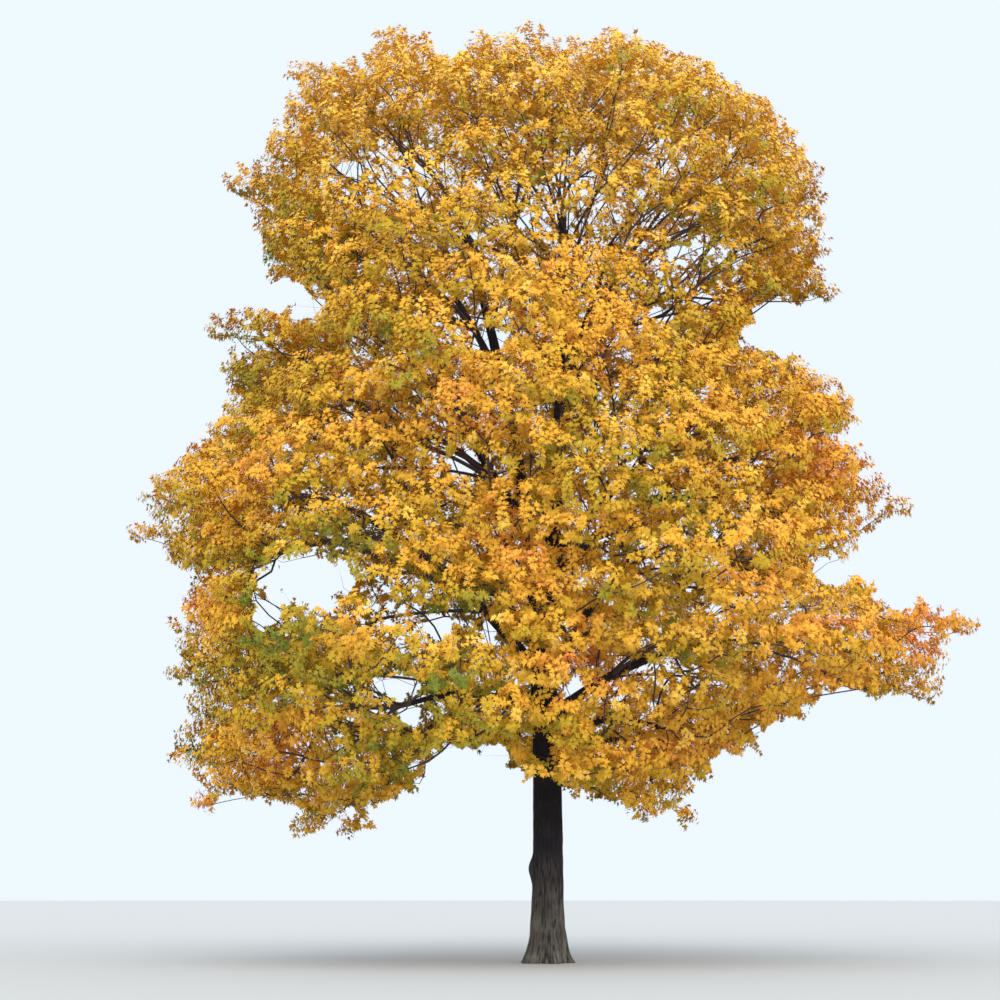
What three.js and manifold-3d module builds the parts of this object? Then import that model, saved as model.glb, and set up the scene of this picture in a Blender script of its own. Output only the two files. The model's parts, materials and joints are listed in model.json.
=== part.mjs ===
// A silver maple in full autumn leaf, 20 metres high, with a dense crown on a short bare trunk.
// Millimetres, +Z up. The origin is the middle of the flat cut at ground level.
// The side that is seen first faces -Y, with +X to the right.

import * as THREE from 'three';
import { mergeVertices } from 'three/addons/utils/BufferGeometryUtils.js';
import Module from 'manifold-3d';

const wasm = await Module();
wasm.setup();

// Clear space between two pieces that meet.
const GAP = 0.3;
// Corners nearer than this are one corner. In shapes of unit size it is the second value.
const SAME_CORNER = 1e-2;
const SAME_CORNER_IN_UNITS = 1e-4;

// Trunk, up to the fork of its two leaders. It bows to the right by half of TRUNK_BOW and comes back.
const FORK_HEIGHT = 6500;
const TRUNK_RADII = [315, 250];
const TRUNK_LEAN = -70;
const TRUNK_BOW = 130;
const FLARE_RADIUS = 165;
const FLARE_HEIGHT = 420;
const ROOT_LOBES = 5;
const ROOT_LOBE_DEPTH = 0.2;
const BURL = { height: 1820, angle: Math.PI, size: 75, halfHeight: 210, halfAngle: 0.5 };

// Leaders. Bend and tip are places, and the two radii are at the root and at the tip.
const LEADERS = [
  { name: 'leader_right', root: [-30, 0, 6150], bend: [480, 160, 10600], tip: [450, 400, 15700],
    radii: [190, 85] },
  { name: 'leader_left', root: [-90, 0, 6150], bend: [-350, -260, 10400], tip: [-1650, -450, 15000],
    radii: [165, 72] },
];

// Crown. Each profile gives the reach to one side, from CROWN_BOTTOM up in steps of PROFILE_STEP.
const TREE_TOP = 20000;
const CROWN_BOTTOM = 2500;
const PROFILE_STEP = 750;
const LEFT_REACH = [
  5600, 7200, 7600, 7550, 7700, 7650, 7550, 7500, 8300, 8450, 7900, 7100,
  6700, 7000, 6950, 6200, 6000, 6350, 6750, 6500, 6000, 5750, 5500, 3900,
];
const RIGHT_REACH = [
  3000, 3200, 4400, 5700, 7900, 8500, 8700, 6300, 6800, 7600, 7000, 6700,
  6700, 5600, 5500, 6200, 6200, 6250, 6250, 6000, 5600, 4900, 4150, 2200,
];
// The crown's underside, from UNDERSIDE_START across to the right in steps of UNDERSIDE_STEP.
const UNDERSIDE_START = -7500;
const UNDERSIDE_STEP = 1000;
const UNDERSIDE = [
  3900, 3000, 3100, 2500, 2850, 3200, 3500, 3500, 3300, 2950, 2500, 3700, 4300, 4800, 5000, 5100, 6200,
];
// Front to back the crown is an even swelling with shallow lobes.
const DEPTH_REACH = 7400;
const WIDEST_HEIGHT = 8000;
const DEPTH_BELOW = 6200;
const DEPTH_ABOVE = 12300;
const DEPTH_POWER = 2.6;
const SECTION_POWER = 2.5;
const LOBE_DEPTH = 0.09;
const LOBE_PITCH = 1250;

// The profiles are the outline as it is seen from this place, in front of the tree.
const EYE = new THREE.Vector3(-900, -36000, 1300);
// Openings where the sky shows through the crown, and the notches in its outline.
const SKY = [
  { name: 'left_hole', x: -4850, z: 7620, halfWidth: 850, halfHeight: 520 },
  { name: 'left_notch', x: -5700, z: 13750, halfWidth: 850, halfHeight: 330 },
  { name: 'right_notch', x: 4900, z: 12750, halfWidth: 600, halfHeight: 350 },
  { name: 'right_slot', x: 5900, z: 7750, halfWidth: 450, halfHeight: 280 },
  { name: 'over_spur', x: 8500, z: 7380, halfWidth: 1000, halfHeight: 400 },
];
// The furthest tips, each reached by a twig of its own.
const TIPS = [
  { name: 'right_spur', x: 8700, z: 6600 },
  { name: 'left_shoulder', x: -8450, z: 8850 },
  { name: 'left_side', x: -7350, z: 6900 },
  { name: 'left_skirt', x: -7500, z: 5100 },
  { name: 'left_foot', x: -6900, z: 3150 },
  { name: 'left_drop', x: -4700, z: 2550 },
  { name: 'right_drop', x: 2750, z: 2600 },
  { name: 'left_lobe', x: -7000, z: 12500 },
  { name: 'upper_left', x: -6750, z: 16250 },
  { name: 'top_left_tuft', x: -5450, z: 18900 },
  { name: 'top_left', x: -3500, z: 19950 },
  { name: 'top_dip', x: -2250, z: 19550 },
  { name: 'top', x: -200, z: 19980 },
  { name: 'top_right', x: 2000, z: 19650 },
  { name: 'top_right_edge', x: 3500, z: 18950 },
  { name: 'upper_right', x: 6200, z: 15600 },
  { name: 'right_hang', x: 6100, z: 13700 },
  { name: 'right_shoulder', x: 7450, z: 9300 },
];

// Tiers of leaf masses. Count masses stand evenly round the tree, from the azimuth called turn, each
// with its heart at the given share of the crown's reach. A tier stands lower to the right by tilt and
// higher to the left. A bough serves each pair of neighbours. It leaves its parent near rootHeight,
// arches by bow times its length, and ends at the share of the reach called bough.
const TIERS = [
  { name: 'skirt', height: 4900, tilt: 300, count: 8, turn: 21, heart: 0.66, bough: 0.48,
    rootHeight: 3850, bow: 0.1, radii: [105, 46], parents: ['trunk'] },
  { name: 'lower', height: 8000, tilt: 1200, count: 8, turn: 0, heart: 0.67, bough: 0.5,
    rootHeight: 4700, bow: 0.08, radii: [125, 50], parents: ['trunk'] },
  { name: 'middle', height: 11000, tilt: 1000, count: 8, turn: 22, heart: 0.64, bough: 0.48,
    rootHeight: 7500, bow: 0.06, radii: [105, 46], parents: ['leader_right', 'leader_left'] },
  { name: 'upper', height: 14600, tilt: 600, count: 6, turn: 30, heart: 0.64, bough: 0.42,
    rootHeight: 10400, bow: 0.05, radii: [85, 42], parents: ['leader_right', 'leader_left'] },
  { name: 'top', height: 17250, tilt: 0, count: 5, turn: 54, heart: 0.64, bough: 0,
    parents: ['leader_right', 'leader_left'] },
];
const PEAK = { name: 'leaves_peak', heart: [-350, 250, 18250], parent: 'leader_right' };
const ROOT_HEIGHT_STEP = 420;
const ROOT_HEIGHTS = [0, 3, 2, 1];
const BOUGH_TIP_DROP = 300;
const BOUGH_BEND_PLACE = 0.45;

// Inside a mass: its heart's lumpy core, its stem from the bough, and its twigs with their leaves.
const CELL_MARGIN = 60;
const LIMB_CLEARANCE = 70;
const CORE_RADIUS = 1180;
const CORE_LUMPS = 0.16;
const CORE_SHARE = 0.62;
const STEM_RADIUS = 38;
const STEM_TAPER = 0.8;
const STEM_SEAT_DEPTH = 30;
const STEM_ASIDE = 0.52;
const STEM_WIDTH_SHARE = 0.45;
const TWIGS = 10;
const SIDE_TWIGS = 4;
const TWIG_RADII = [36, 20];
const OUTWARD_BIAS = 0.55;
const TIP_DEPTH_SHARE = 0.7;
const LONGEST_TWIG = 4200;
const REACH_STEP = 100;
const SIDE_TWIG_PLACE = 0.5;
const LEAF_LENGTH = 1900;
const LEAF_WIDTH_SHARE = 0.78;
const LEAF_THICKNESS_SHARE = 0.09;
const LEAF_WIDEST = 0.45;
const LEAF_STANDS_OUT = 0.35;
const LEAF_SWAY = 1.6;
const LEAF_SIZES = [1, 0.82, 0.66, 0.5];
const TIP_LEAF_SIZES = [1, 0.82, 0.66, 0.5, 0.36];
const LEAF_PLACES = [0.95, 0.86, 0.76, 0.66];
const LEAF_SPACING = 0.39;
const SHORTEST_TWIG = 500;
const HANG_OUTWARD = 0.5;
const GOLDEN_ANGLE = Math.PI * (3 - Math.sqrt(5));

// A limb leaning less than this share of its length counts as upright.
const NEARLY_UPRIGHT = 0.2;
// How finely the limbs are faceted.
const TRUNK_MESH = { sides: 14, steps: 14 };
const LEADER_MESH = { sides: 9, steps: 8 };
const BOUGH_MESH = { sides: 7, steps: 5 };
const STEM_MESH = { sides: 5, steps: 1 };

const UP = new THREE.Vector3(0, 0, 1);
const FRONT = new THREE.Vector3(0, -1, 0);

// Seeded draws from 0 to 1, the same in every run, by a linear congruential rule.
const DRAWS = { stride: 7919, offset: 17, factor: 1664525, step: 1013904223, range: 2 ** 32 };

function seededDraws(seed) {
  let state = seed * DRAWS.stride + DRAWS.offset;
  const draw = () => {
    state = (state * DRAWS.factor + DRAWS.step) % DRAWS.range;
    return state / DRAWS.range;
  };
  draw();
  draw();
  return draw;
}

// Reading a profile between two of its steps.
function between(values, place) {
  const last = values.length - 1;
  const clamped = Math.min(Math.max(place, 0), last);
  const low = Math.min(Math.floor(clamped), last - 1);
  return THREE.MathUtils.lerp(values[low], values[low + 1], clamped - low);
}

function leftReach(height) {
  return between(LEFT_REACH, (height - CROWN_BOTTOM) / PROFILE_STEP);
}

function rightReach(height) {
  return between(RIGHT_REACH, (height - CROWN_BOTTOM) / PROFILE_STEP);
}

function depthReach(height, x) {
  const span = height < WIDEST_HEIGHT ? DEPTH_BELOW : DEPTH_ABOVE;
  const rise = Math.min(Math.abs(height - WIDEST_HEIGHT) / span, 1);
  const lobes = 1 + LOBE_DEPTH * Math.sin(height / LOBE_PITCH + x / LOBE_PITCH);
  return DEPTH_REACH * Math.sqrt(1 - rise ** DEPTH_POWER) * lobes;
}

// Whether a point keeps inside the outline that is seen from the front, and out of the sky's openings.
function insideOutline(point) {
  const scale = -EYE.y / (point.y - EYE.y);
  const x = EYE.x + (point.x - EYE.x) * scale;
  const z = EYE.z + (point.z - EYE.z) * scale;
  if (z > TREE_TOP || z < between(UNDERSIDE, (x - UNDERSIDE_START) / UNDERSIDE_STEP)) return false;
  if (x < -leftReach(z) || x > rightReach(z)) return false;
  return SKY.every((sky) => Math.hypot((x - sky.x) / sky.halfWidth, (z - sky.z) / sky.halfHeight) > 1);
}

// The point at another depth that is seen at the same place from the front.
function seenAtDepth(point, y) {
  return EYE.clone().lerp(point, (y - EYE.y) / (point.y - EYE.y));
}

// Whether a point lies in the crown, whose level sections are rounded rectangles.
function insideCrown(point) {
  if (point.z < CROWN_BOTTOM || point.z > TREE_TOP) return false;
  const left = leftReach(point.z);
  const right = rightReach(point.z);
  const across = Math.abs(point.x - (right - left) / 2) / ((right + left) / 2);
  const deep = Math.abs(point.y) / Math.max(depthReach(point.z, point.x), 1);
  return across ** SECTION_POWER + deep ** SECTION_POWER < 1 && insideOutline(point);
}

// How far the crown reaches from the trunk's line at a height and an azimuth.
function crownReach(height, azimuth) {
  const side = Math.cos(azimuth) > 0 ? rightReach(height) : leftReach(height);
  const across = Math.abs(Math.cos(azimuth)) / side;
  const deep = Math.abs(Math.sin(azimuth)) / depthReach(height, 0);
  return 1 / (across ** SECTION_POWER + deep ** SECTION_POWER) ** (1 / SECTION_POWER);
}

function atAzimuth(azimuth, distance, height) {
  return new THREE.Vector3(Math.cos(azimuth) * distance, Math.sin(azimuth) * distance, height);
}

// A closed geometry as a solid that can be joined and cut.
function toSolid(geometry) {
  const bare = geometry.clone();
  bare.deleteAttribute('normal');
  bare.deleteAttribute('uv');
  const merged = mergeVertices(bare, SAME_CORNER);
  return new wasm.Manifold(new wasm.Mesh({
    numProp: 3,
    vertProperties: merged.attributes.position.array,
    triVerts: new Uint32Array(merged.index.array),
  }));
}

// The outer skin of the largest piece, without loose scraps or sealed hollows.
function largestPiece(solid) {
  const pieces = solid.decompose();
  return pieces.reduce((best, piece) => (piece.volume() > best.volume() ? piece : best));
}

function toMesh(solid, name, origin, material) {
  const { vertProperties, triVerts } = solid.getMesh();
  const geometry = new THREE.BufferGeometry();
  geometry.setAttribute('position', new THREE.BufferAttribute(vertProperties, 3));
  geometry.setIndex(new THREE.BufferAttribute(triVerts, 1));
  geometry.translate(-origin.x, -origin.y, -origin.z);
  geometry.computeVertexNormals();
  const mesh = new THREE.Mesh(geometry, material);
  mesh.name = name;
  mesh.position.copy(origin);
  return mesh;
}

// Limbs. A limb is a round rod that tapers along a curve from its root to its tip.
function makeLimb(name, root, bend, tip, radii, mesh) {
  const curve = new THREE.QuadraticBezierCurve3(root, bend, tip);
  const across = new THREE.Vector3().crossVectors(UP, tip.clone().sub(root));
  if (across.length() < NEARLY_UPRIGHT * root.distanceTo(tip)) across.set(0, 1, 0);
  return { name, curve, radii, ...mesh, across: across.normalize() };
}

function limbRadius(limb, along) {
  return THREE.MathUtils.lerp(limb.radii[0], limb.radii[1], along);
}

// The trunk swells into root lobes at the ground and carries one burl.
function trunkRadius(height, angle) {
  const along = height / FORK_HEIGHT;
  const flare = Math.exp(-height / FLARE_HEIGHT);
  const lobes = 1 + ROOT_LOBE_DEPTH * flare * Math.cos(ROOT_LOBES * angle);
  const turn = Math.atan2(Math.sin(angle - BURL.angle), Math.cos(angle - BURL.angle));
  const burl = Math.exp(-(((height - BURL.height) / BURL.halfHeight) ** 2) - (turn / BURL.halfAngle) ** 2);
  const round = THREE.MathUtils.lerp(TRUNK_RADII[0], TRUNK_RADII[1], along) + FLARE_RADIUS * flare;
  return round * lobes + BURL.size * burl;
}

// The rod's surface, moved outwards by extra.
function limbGeometry(limb, extra = 0) {
  const geometry = new THREE.CylinderGeometry(1, 1, 1, limb.sides, limb.steps);
  const place = geometry.attributes.position;
  for (let i = 0; i < place.count; i += 1) {
    const along = place.getY(i) + 0.5;
    const tangent = limb.level ? UP : limb.curve.getTangent(along);
    const deep = new THREE.Vector3().crossVectors(limb.across, tangent).normalize();
    const level = new THREE.Vector3().crossVectors(tangent, deep);
    const spoke = level.multiplyScalar(place.getX(i)).addScaledVector(deep, place.getZ(i));
    const radius = (limb.radiusAt ? limb.radiusAt(along, spoke) : limbRadius(limb, along)) + extra;
    const point = limb.curve.getPoint(along).addScaledVector(spoke, radius);
    if (along > 1 - SAME_CORNER_IN_UNITS) point.addScaledVector(tangent, extra);
    place.setXYZ(i, point.x, point.y, point.z);
  }
  return geometry;
}

function makeTrunk() {
  const root = new THREE.Vector3(0, 0, 0);
  const bend = new THREE.Vector3(TRUNK_BOW, 0, FORK_HEIGHT / 2);
  const tip = new THREE.Vector3(TRUNK_LEAN, 0, FORK_HEIGHT);
  const trunk = makeLimb('trunk', root, bend, tip, TRUNK_RADII, TRUNK_MESH);
  trunk.level = true;
  trunk.radiusAt = (along, spoke) => trunkRadius(along * FORK_HEIGHT, Math.atan2(spoke.y, spoke.x));
  return trunk;
}

// The point of a limb's middle line at a height, found by halving the span that holds it.
const HALVINGS = 24;

function pointAtHeight(limb, height) {
  let low = 0;
  let high = 1;
  for (let i = 0; i < HALVINGS; i += 1) {
    const middle = (low + high) / 2;
    if (limb.curve.getPoint(middle).z < height) low = middle;
    else high = middle;
  }
  return limb.curve.getPoint(low);
}

function tierHeight(tier, azimuth) {
  return tier.height - tier.tilt * Math.cos(azimuth);
}

// The azimuth of a tier's mass. A bough's is half way between its two masses, so its index has a half.
function azimuthOf(tier, index) {
  return THREE.MathUtils.degToRad(tier.turn + (360 / tier.count) * index);
}

// A curve with one bend passes at half the bend's height, so the bend is raised by twice the arch.
function makeBough(tier, index, parent) {
  const turn = azimuthOf(tier, 2 * index + 0.5);
  const root = pointAtHeight(parent, tier.rootHeight + ROOT_HEIGHT_STEP * ROOT_HEIGHTS[index]);
  const height = tierHeight(tier, turn);
  const tip = atAzimuth(turn, crownReach(height, turn) * tier.bough, height - BOUGH_TIP_DROP);
  const bend = root.clone().lerp(tip, BOUGH_BEND_PLACE);
  bend.z += root.distanceTo(tip) * tier.bow * 2;
  return makeLimb(`bough_${tier.name}_${index + 1}`, root, bend, tip, tier.radii, BOUGH_MESH);
}

// The limb nearest to a point among those that a tier may grow from.
function nearestParent(limbs, names, point) {
  const choices = limbs.filter((limb) => names.includes(limb.name));
  const distance = (limb) => pointAtHeight(limb, point.z).distanceTo(point);
  return choices.reduce((best, limb) => (distance(limb) < distance(best) ? limb : best));
}

// Masses. Each mass has a heart, and a stem that runs to it from the tip of its bough.
function makeMass(name, heart, bough) {
  const tip = bough.curve.getPoint(1);
  const aim = heart.clone().sub(tip).normalize();
  const tangent = bough.curve.getTangent(1);
  const aside = aim.clone().addScaledVector(tangent, -aim.dot(tangent)).normalize();
  const start = tip.clone().addScaledVector(aside, bough.radii[1] * STEM_ASIDE);
  start.addScaledVector(tangent, -STEM_SEAT_DEPTH);
  const middle = start.clone().lerp(heart, 0.5);
  const radius = Math.min(STEM_RADIUS, bough.radii[1] * STEM_WIDTH_SHARE);
  const stem = makeLimb(name, start, middle, heart, [radius, radius * STEM_TAPER], STEM_MESH);
  const outward = heart.clone().setZ(0).normalize();
  return { name, heart, stem, outward, tips: [] };
}

function distanceToLimb(point, limb) {
  let nearest = Infinity;
  for (let i = 0; i < limb.line.length - 1; i += 1) {
    const segment = new THREE.Line3(limb.line[i], limb.line[i + 1]);
    const foot = segment.closestPointToPoint(point, true, new THREE.Vector3());
    nearest = Math.min(nearest, foot.distanceTo(point));
  }
  return nearest - limb.radii[0];
}

// Whether a point lies in a mass's own cell: nearer to its heart than to any other, by a margin.
function insideCell(point, mass, masses) {
  const own = point.distanceToSquared(mass.heart);
  return masses.every((other) => {
    if (other === mass) return true;
    const span = 2 * mass.heart.distanceTo(other.heart);
    return (point.distanceToSquared(other.heart) - own) / span > CELL_MARGIN;
  });
}

function isFree(point, mass, tree) {
  if (!insideCell(point, mass, tree.masses) || !insideCrown(point)) return false;
  return mass.obstacles.every((limb) => distanceToLimb(point, limb) > LIMB_CLEARANCE);
}

// How far the free space of a mass goes on from a point in one direction.
function freeReach(from, direction, mass, tree) {
  let reach = 0;
  while (reach < LONGEST_TWIG) {
    const next = from.clone().addScaledVector(direction, reach + REACH_STEP);
    if (!isFree(next, mass, tree)) break;
    reach += REACH_STEP;
  }
  return reach;
}

function spiralDirection(index, count, turn) {
  const level = 1 - (2 * (index + 0.5)) / count;
  const round = Math.sqrt(1 - level * level);
  const angle = index * GOLDEN_ANGLE + turn;
  return new THREE.Vector3(Math.cos(angle) * round, Math.sin(angle) * round, level);
}

// The core is a lumpy ball that keeps inside the free space round the heart.
function coreSolid(mass, tree, draw) {
  const geometry = new THREE.DodecahedronGeometry(1, 0);
  geometry.deleteAttribute('normal');
  geometry.deleteAttribute('uv');
  const ball = mergeVertices(geometry, SAME_CORNER_IN_UNITS);
  const place = ball.attributes.position;
  for (let i = 0; i < place.count; i += 1) {
    const direction = new THREE.Vector3().fromBufferAttribute(place, i).normalize();
    const free = freeReach(mass.heart, direction, mass, tree) * CORE_SHARE;
    const lumpy = CORE_RADIUS * (1 + CORE_LUMPS * (2 * draw() - 1));
    const radius = Math.max(Math.min(lumpy, free), STEM_RADIUS * 2);
    const point = mass.heart.clone().addScaledVector(direction, radius);
    place.setXYZ(i, point.x, point.y, point.z);
  }
  return toSolid(ball);
}

// A leaf and its twig are one three-sided body: the twig runs from its root to the neck, and the blade
// widens and closes along its rib to the tip. The blade stands for a whole spray of leaves.
function leafPoints(neck, tip, outward) {
  const rib = tip.clone().sub(neck);
  const length = rib.length();
  const width = new THREE.Vector3().crossVectors(rib, outward).normalize();
  const face = new THREE.Vector3().crossVectors(width, rib).normalize();
  width.multiplyScalar((length * LEAF_WIDTH_SHARE) / 2);
  face.multiplyScalar((length * LEAF_THICKNESS_SHARE) / 2);
  const middle = neck.clone().addScaledVector(rib, LEAF_WIDEST);
  return { middle, width, face };
}

function leafIsFree(neck, tip, outward, mass, tree) {
  const { middle, width, face } = leafPoints(neck, tip, outward);
  const edges = [middle.clone().add(width), middle.clone().sub(width), middle.clone().add(face)];
  return [neck, tip, middle, ...edges].every((point) => isFree(point, mass, tree));
}

function leafSolid(root, neck, tip, outward) {
  const { middle, width, face } = leafPoints(neck, tip, outward);
  const stations = [root, neck, middle, tip];
  const level = width.clone().normalize();
  const deep = new THREE.Vector3().crossVectors(level, neck.clone().sub(root)).normalize();
  const geometry = new THREE.ConeGeometry(1, 1, 3, stations.length - 1);
  const place = geometry.attributes.position;
  for (let i = 0; i < place.count; i += 1) {
    const station = Math.round((place.getY(i) + 0.5) * (stations.length - 1));
    const corner = new THREE.Vector3(place.getX(i), 0, place.getZ(i));
    if (corner.length() > 0) corner.normalize();
    const point = stations[station].clone();
    if (station < 2) {
      point.addScaledVector(level, corner.x * TWIG_RADII[station]);
      point.addScaledVector(deep, corner.z * TWIG_RADII[station]);
    } else if (station === 2) {
      point.addScaledVector(width, corner.x / Math.sin(Math.PI / 3)).addScaledVector(face, corner.z);
    }
    place.setXYZ(i, point.x, point.y, point.z);
  }
  return toSolid(geometry);
}

// The rib of a leaf hangs down the outside of the crown, turned to one side by sway.
function hangingRib(direction, outward, sway) {
  const down = outward.clone().multiplyScalar(HANG_OUTWARD).sub(UP);
  const side = new THREE.Vector3().crossVectors(direction, down).normalize();
  const hang = new THREE.Vector3().crossVectors(side, direction).normalize();
  return hang.addScaledVector(side, sway).addScaledVector(direction, LEAF_STANDS_OUT).normalize();
}

// The largest leaf, and the furthest place for it along a direction, that keep to the free space and
// clear of the mass's other leaves, or nothing.
function growTwig(root, direction, rib, reach, twigs, mass, tree) {
  for (const size of LEAF_SIZES) {
    for (const place of LEAF_PLACES) {
      const length = LEAF_LENGTH * size;
      const middle = root.clone().addScaledVector(direction, reach * place);
      const neck = middle.clone().addScaledVector(rib, -length * LEAF_WIDEST);
      const tip = neck.clone().addScaledVector(rib, length);
      const isApart = (twig) => twig.middle.distanceTo(middle) > (twig.length + length) * LEAF_SPACING;
      const fits = twigs.every(isApart) && root.distanceTo(neck) > SHORTEST_TWIG;
      if (fits && leafIsFree(neck, tip, direction, mass, tree)) {
        return { root, neck, middle, tip, length, outward: direction };
      }
    }
  }
  return null;
}

// A twig to one of the crown's furthest tips, with its leaf straight in line, face on to the front.
function growTipTwig(aim, mass, tree) {
  const direction = aim.clone().sub(mass.heart).normalize();
  const tip = mass.heart.clone().addScaledVector(direction, freeReach(mass.heart, direction, mass, tree));
  for (const outward of [FRONT, UP]) {
    for (const size of TIP_LEAF_SIZES) {
      const length = LEAF_LENGTH * size;
      const neck = tip.clone().addScaledVector(direction, -length);
      const middle = neck.clone().lerp(tip, LEAF_WIDEST);
      if (leafIsFree(neck, tip, outward, mass, tree)) {
        return { root: mass.heart, neck, middle, tip, length, outward };
      }
    }
  }
  return null;
}

// The twigs of a mass: first to its furthest tips, then along an even spiral, then as side twigs.
function growTwigs(mass, tree, draw) {
  const turn = draw() * 2 * Math.PI;
  const twigs = mass.tips.map((tip) => growTipTwig(tip, mass, tree)).filter(Boolean);
  const grow = (root, direction, reach) => {
    const rib = hangingRib(direction, mass.outward, LEAF_SWAY * (draw() - 0.5));
    const twig = growTwig(root, direction, rib, reach, twigs, mass, tree);
    if (twig) twigs.push(twig);
  };
  for (let i = 0; i < TWIGS; i += 1) {
    const direction = spiralDirection(i, TWIGS, turn).addScaledVector(mass.outward, OUTWARD_BIAS).normalize();
    grow(mass.heart, direction, freeReach(mass.heart, direction, mass, tree));
  }
  twigs.slice(0, SIDE_TWIGS).forEach((twig, i) => {
    const root = twig.root.clone().lerp(twig.neck, SIDE_TWIG_PLACE);
    const along = twig.neck.clone().sub(twig.root).normalize();
    const across = spiralDirection(i, SIDE_TWIGS, turn + 1).cross(along).normalize();
    const direction = along.add(across).normalize();
    grow(root, direction, freeReach(root, direction, mass, tree));
  });
  return twigs;
}

function massSolid(mass, index, tree) {
  const draw = seededDraws(index + 1);
  let body = coreSolid(mass, tree, draw);
  growTwigs(mass, tree, draw).forEach(({ root, neck, tip, outward }) => {
    body = body.add(leafSolid(root, neck, tip, outward));
  });
  let stem = toSolid(limbGeometry(mass.stem));
  tree.masses.forEach((other, place) => {
    if (place === index) return;
    body = body.subtract(other.stemRoom);
    if (place < index) stem = stem.subtract(other.stemRoom);
  });
  let solid = body.add(stem);
  tree.limbs.forEach((limb) => {
    solid = solid.subtract(limb.room);
  });
  return largestPiece(solid);
}

// The limbs in the order in which they are cut clear of each other.
function growLimbs() {
  const limbs = [makeTrunk()];
  LEADERS.forEach(({ name, root, bend, tip, radii }) => {
    const [from, over, to] = [root, bend, tip].map((place) => new THREE.Vector3(...place));
    limbs.push(makeLimb(name, from, over, to, radii, LEADER_MESH));
  });
  TIERS.filter((tier) => tier.bough > 0).forEach((tier) => {
    for (let i = 0; i < tier.count / 2; i += 1) {
      const turn = azimuthOf(tier, 2 * i + 0.5);
      const aim = atAzimuth(turn, crownReach(tier.height, turn) * tier.bough, tier.rootHeight);
      limbs.push(makeBough(tier, i, nearestParent(limbs, tier.parents, aim)));
    }
  });
  limbs.forEach((limb, index) => {
    limb.line = limb.curve.getPoints(limb.steps);
    limb.room = toSolid(limbGeometry(limb, GAP));
    limb.solid = toSolid(limbGeometry(limb));
    limbs.slice(0, index).forEach((earlier) => {
      limb.solid = limb.solid.subtract(earlier.room);
    });
    limb.solid = largestPiece(limb.solid);
  });
  return limbs;
}

function growMasses(limbs) {
  const masses = [];
  TIERS.forEach((tier) => {
    for (let i = 0; i < tier.count; i += 1) {
      const azimuth = azimuthOf(tier, i);
      const height = tierHeight(tier, azimuth);
      const heart = atAzimuth(azimuth, crownReach(height, azimuth) * tier.heart, height);
      const name = `bough_${tier.name}_${Math.floor(i / 2) + 1}`;
      const bough = limbs.find((limb) => limb.name === name) ?? nearestParent(limbs, tier.parents, heart);
      masses.push(makeMass(`leaves_${tier.name}_${i + 1}`, heart, bough));
    }
  });
  const leader = limbs.find((limb) => limb.name === PEAK.parent);
  masses.push(makeMass(PEAK.name, new THREE.Vector3(...PEAK.heart), leader));
  masses.forEach((mass) => {
    mass.stem.line = mass.stem.curve.getPoints(1);
    mass.stemRoom = toSolid(limbGeometry(mass.stem, GAP));
  });
  masses.forEach((mass) => {
    mass.obstacles = [...limbs, ...masses.filter((other) => other !== mass).map((other) => other.stem)];
  });
  TIPS.forEach((tip) => {
    const point = new THREE.Vector3(tip.x, 0, tip.z);
    const nearest = (best, mass) => (
      mass.heart.distanceTo(point) < best.heart.distanceTo(point) ? mass : best
    );
    const mass = masses.reduce(nearest);
    mass.tips.push(seenAtDepth(point, mass.heart.y * TIP_DEPTH_SHARE));
  });
  return masses;
}

const bark = new THREE.MeshStandardMaterial({ color: 0x4d4143, roughness: 0.95, metalness: 0 });
const leafTints = [0xd9922a, 0xdb9c2e, 0xe0a436, 0xc9922c, 0xe28a2c].map(
  (color) => new THREE.MeshStandardMaterial({ color, roughness: 0.8, metalness: 0, flatShading: true }),
);

const tree = { limbs: growLimbs() };
tree.masses = growMasses(tree.limbs);

const wood = new THREE.Group();
tree.limbs.forEach((limb) => {
  wood.add(toMesh(limb.solid, limb.name, limb.curve.getPoint(0), bark));
});

const foliage = new THREE.Group();
tree.masses.forEach((mass, index) => {
  const tint = leafTints[index % leafTints.length];
  foliage.add(toMesh(massSolid(mass, index, tree), mass.name, mass.heart, tint));
});

const group = new THREE.Group();
group.add(wood, foliage);

export default group;
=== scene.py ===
"""A silver maple in full autumn leaf, 20 metres high, dressed over its plain solids.

The trunk, leaders and boughs get a skin with the relief of their bark. Each mass of foliage is grown again
from its bough by the same rule as its solid, and carried on to fine twigs and sprays of leaves.
Metres, +Z up, with the middle of the trunk's cut at the origin. The side that is seen first faces -Y.
"""

import functools
import itertools
import json
import math

import bmesh
import bpy
import numpy as np
from bpy.props import FloatProperty, FloatVectorProperty, IntProperty, PointerProperty
from mathutils import Euler, Matrix, Vector, noise
from numpy.linalg import norm

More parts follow.
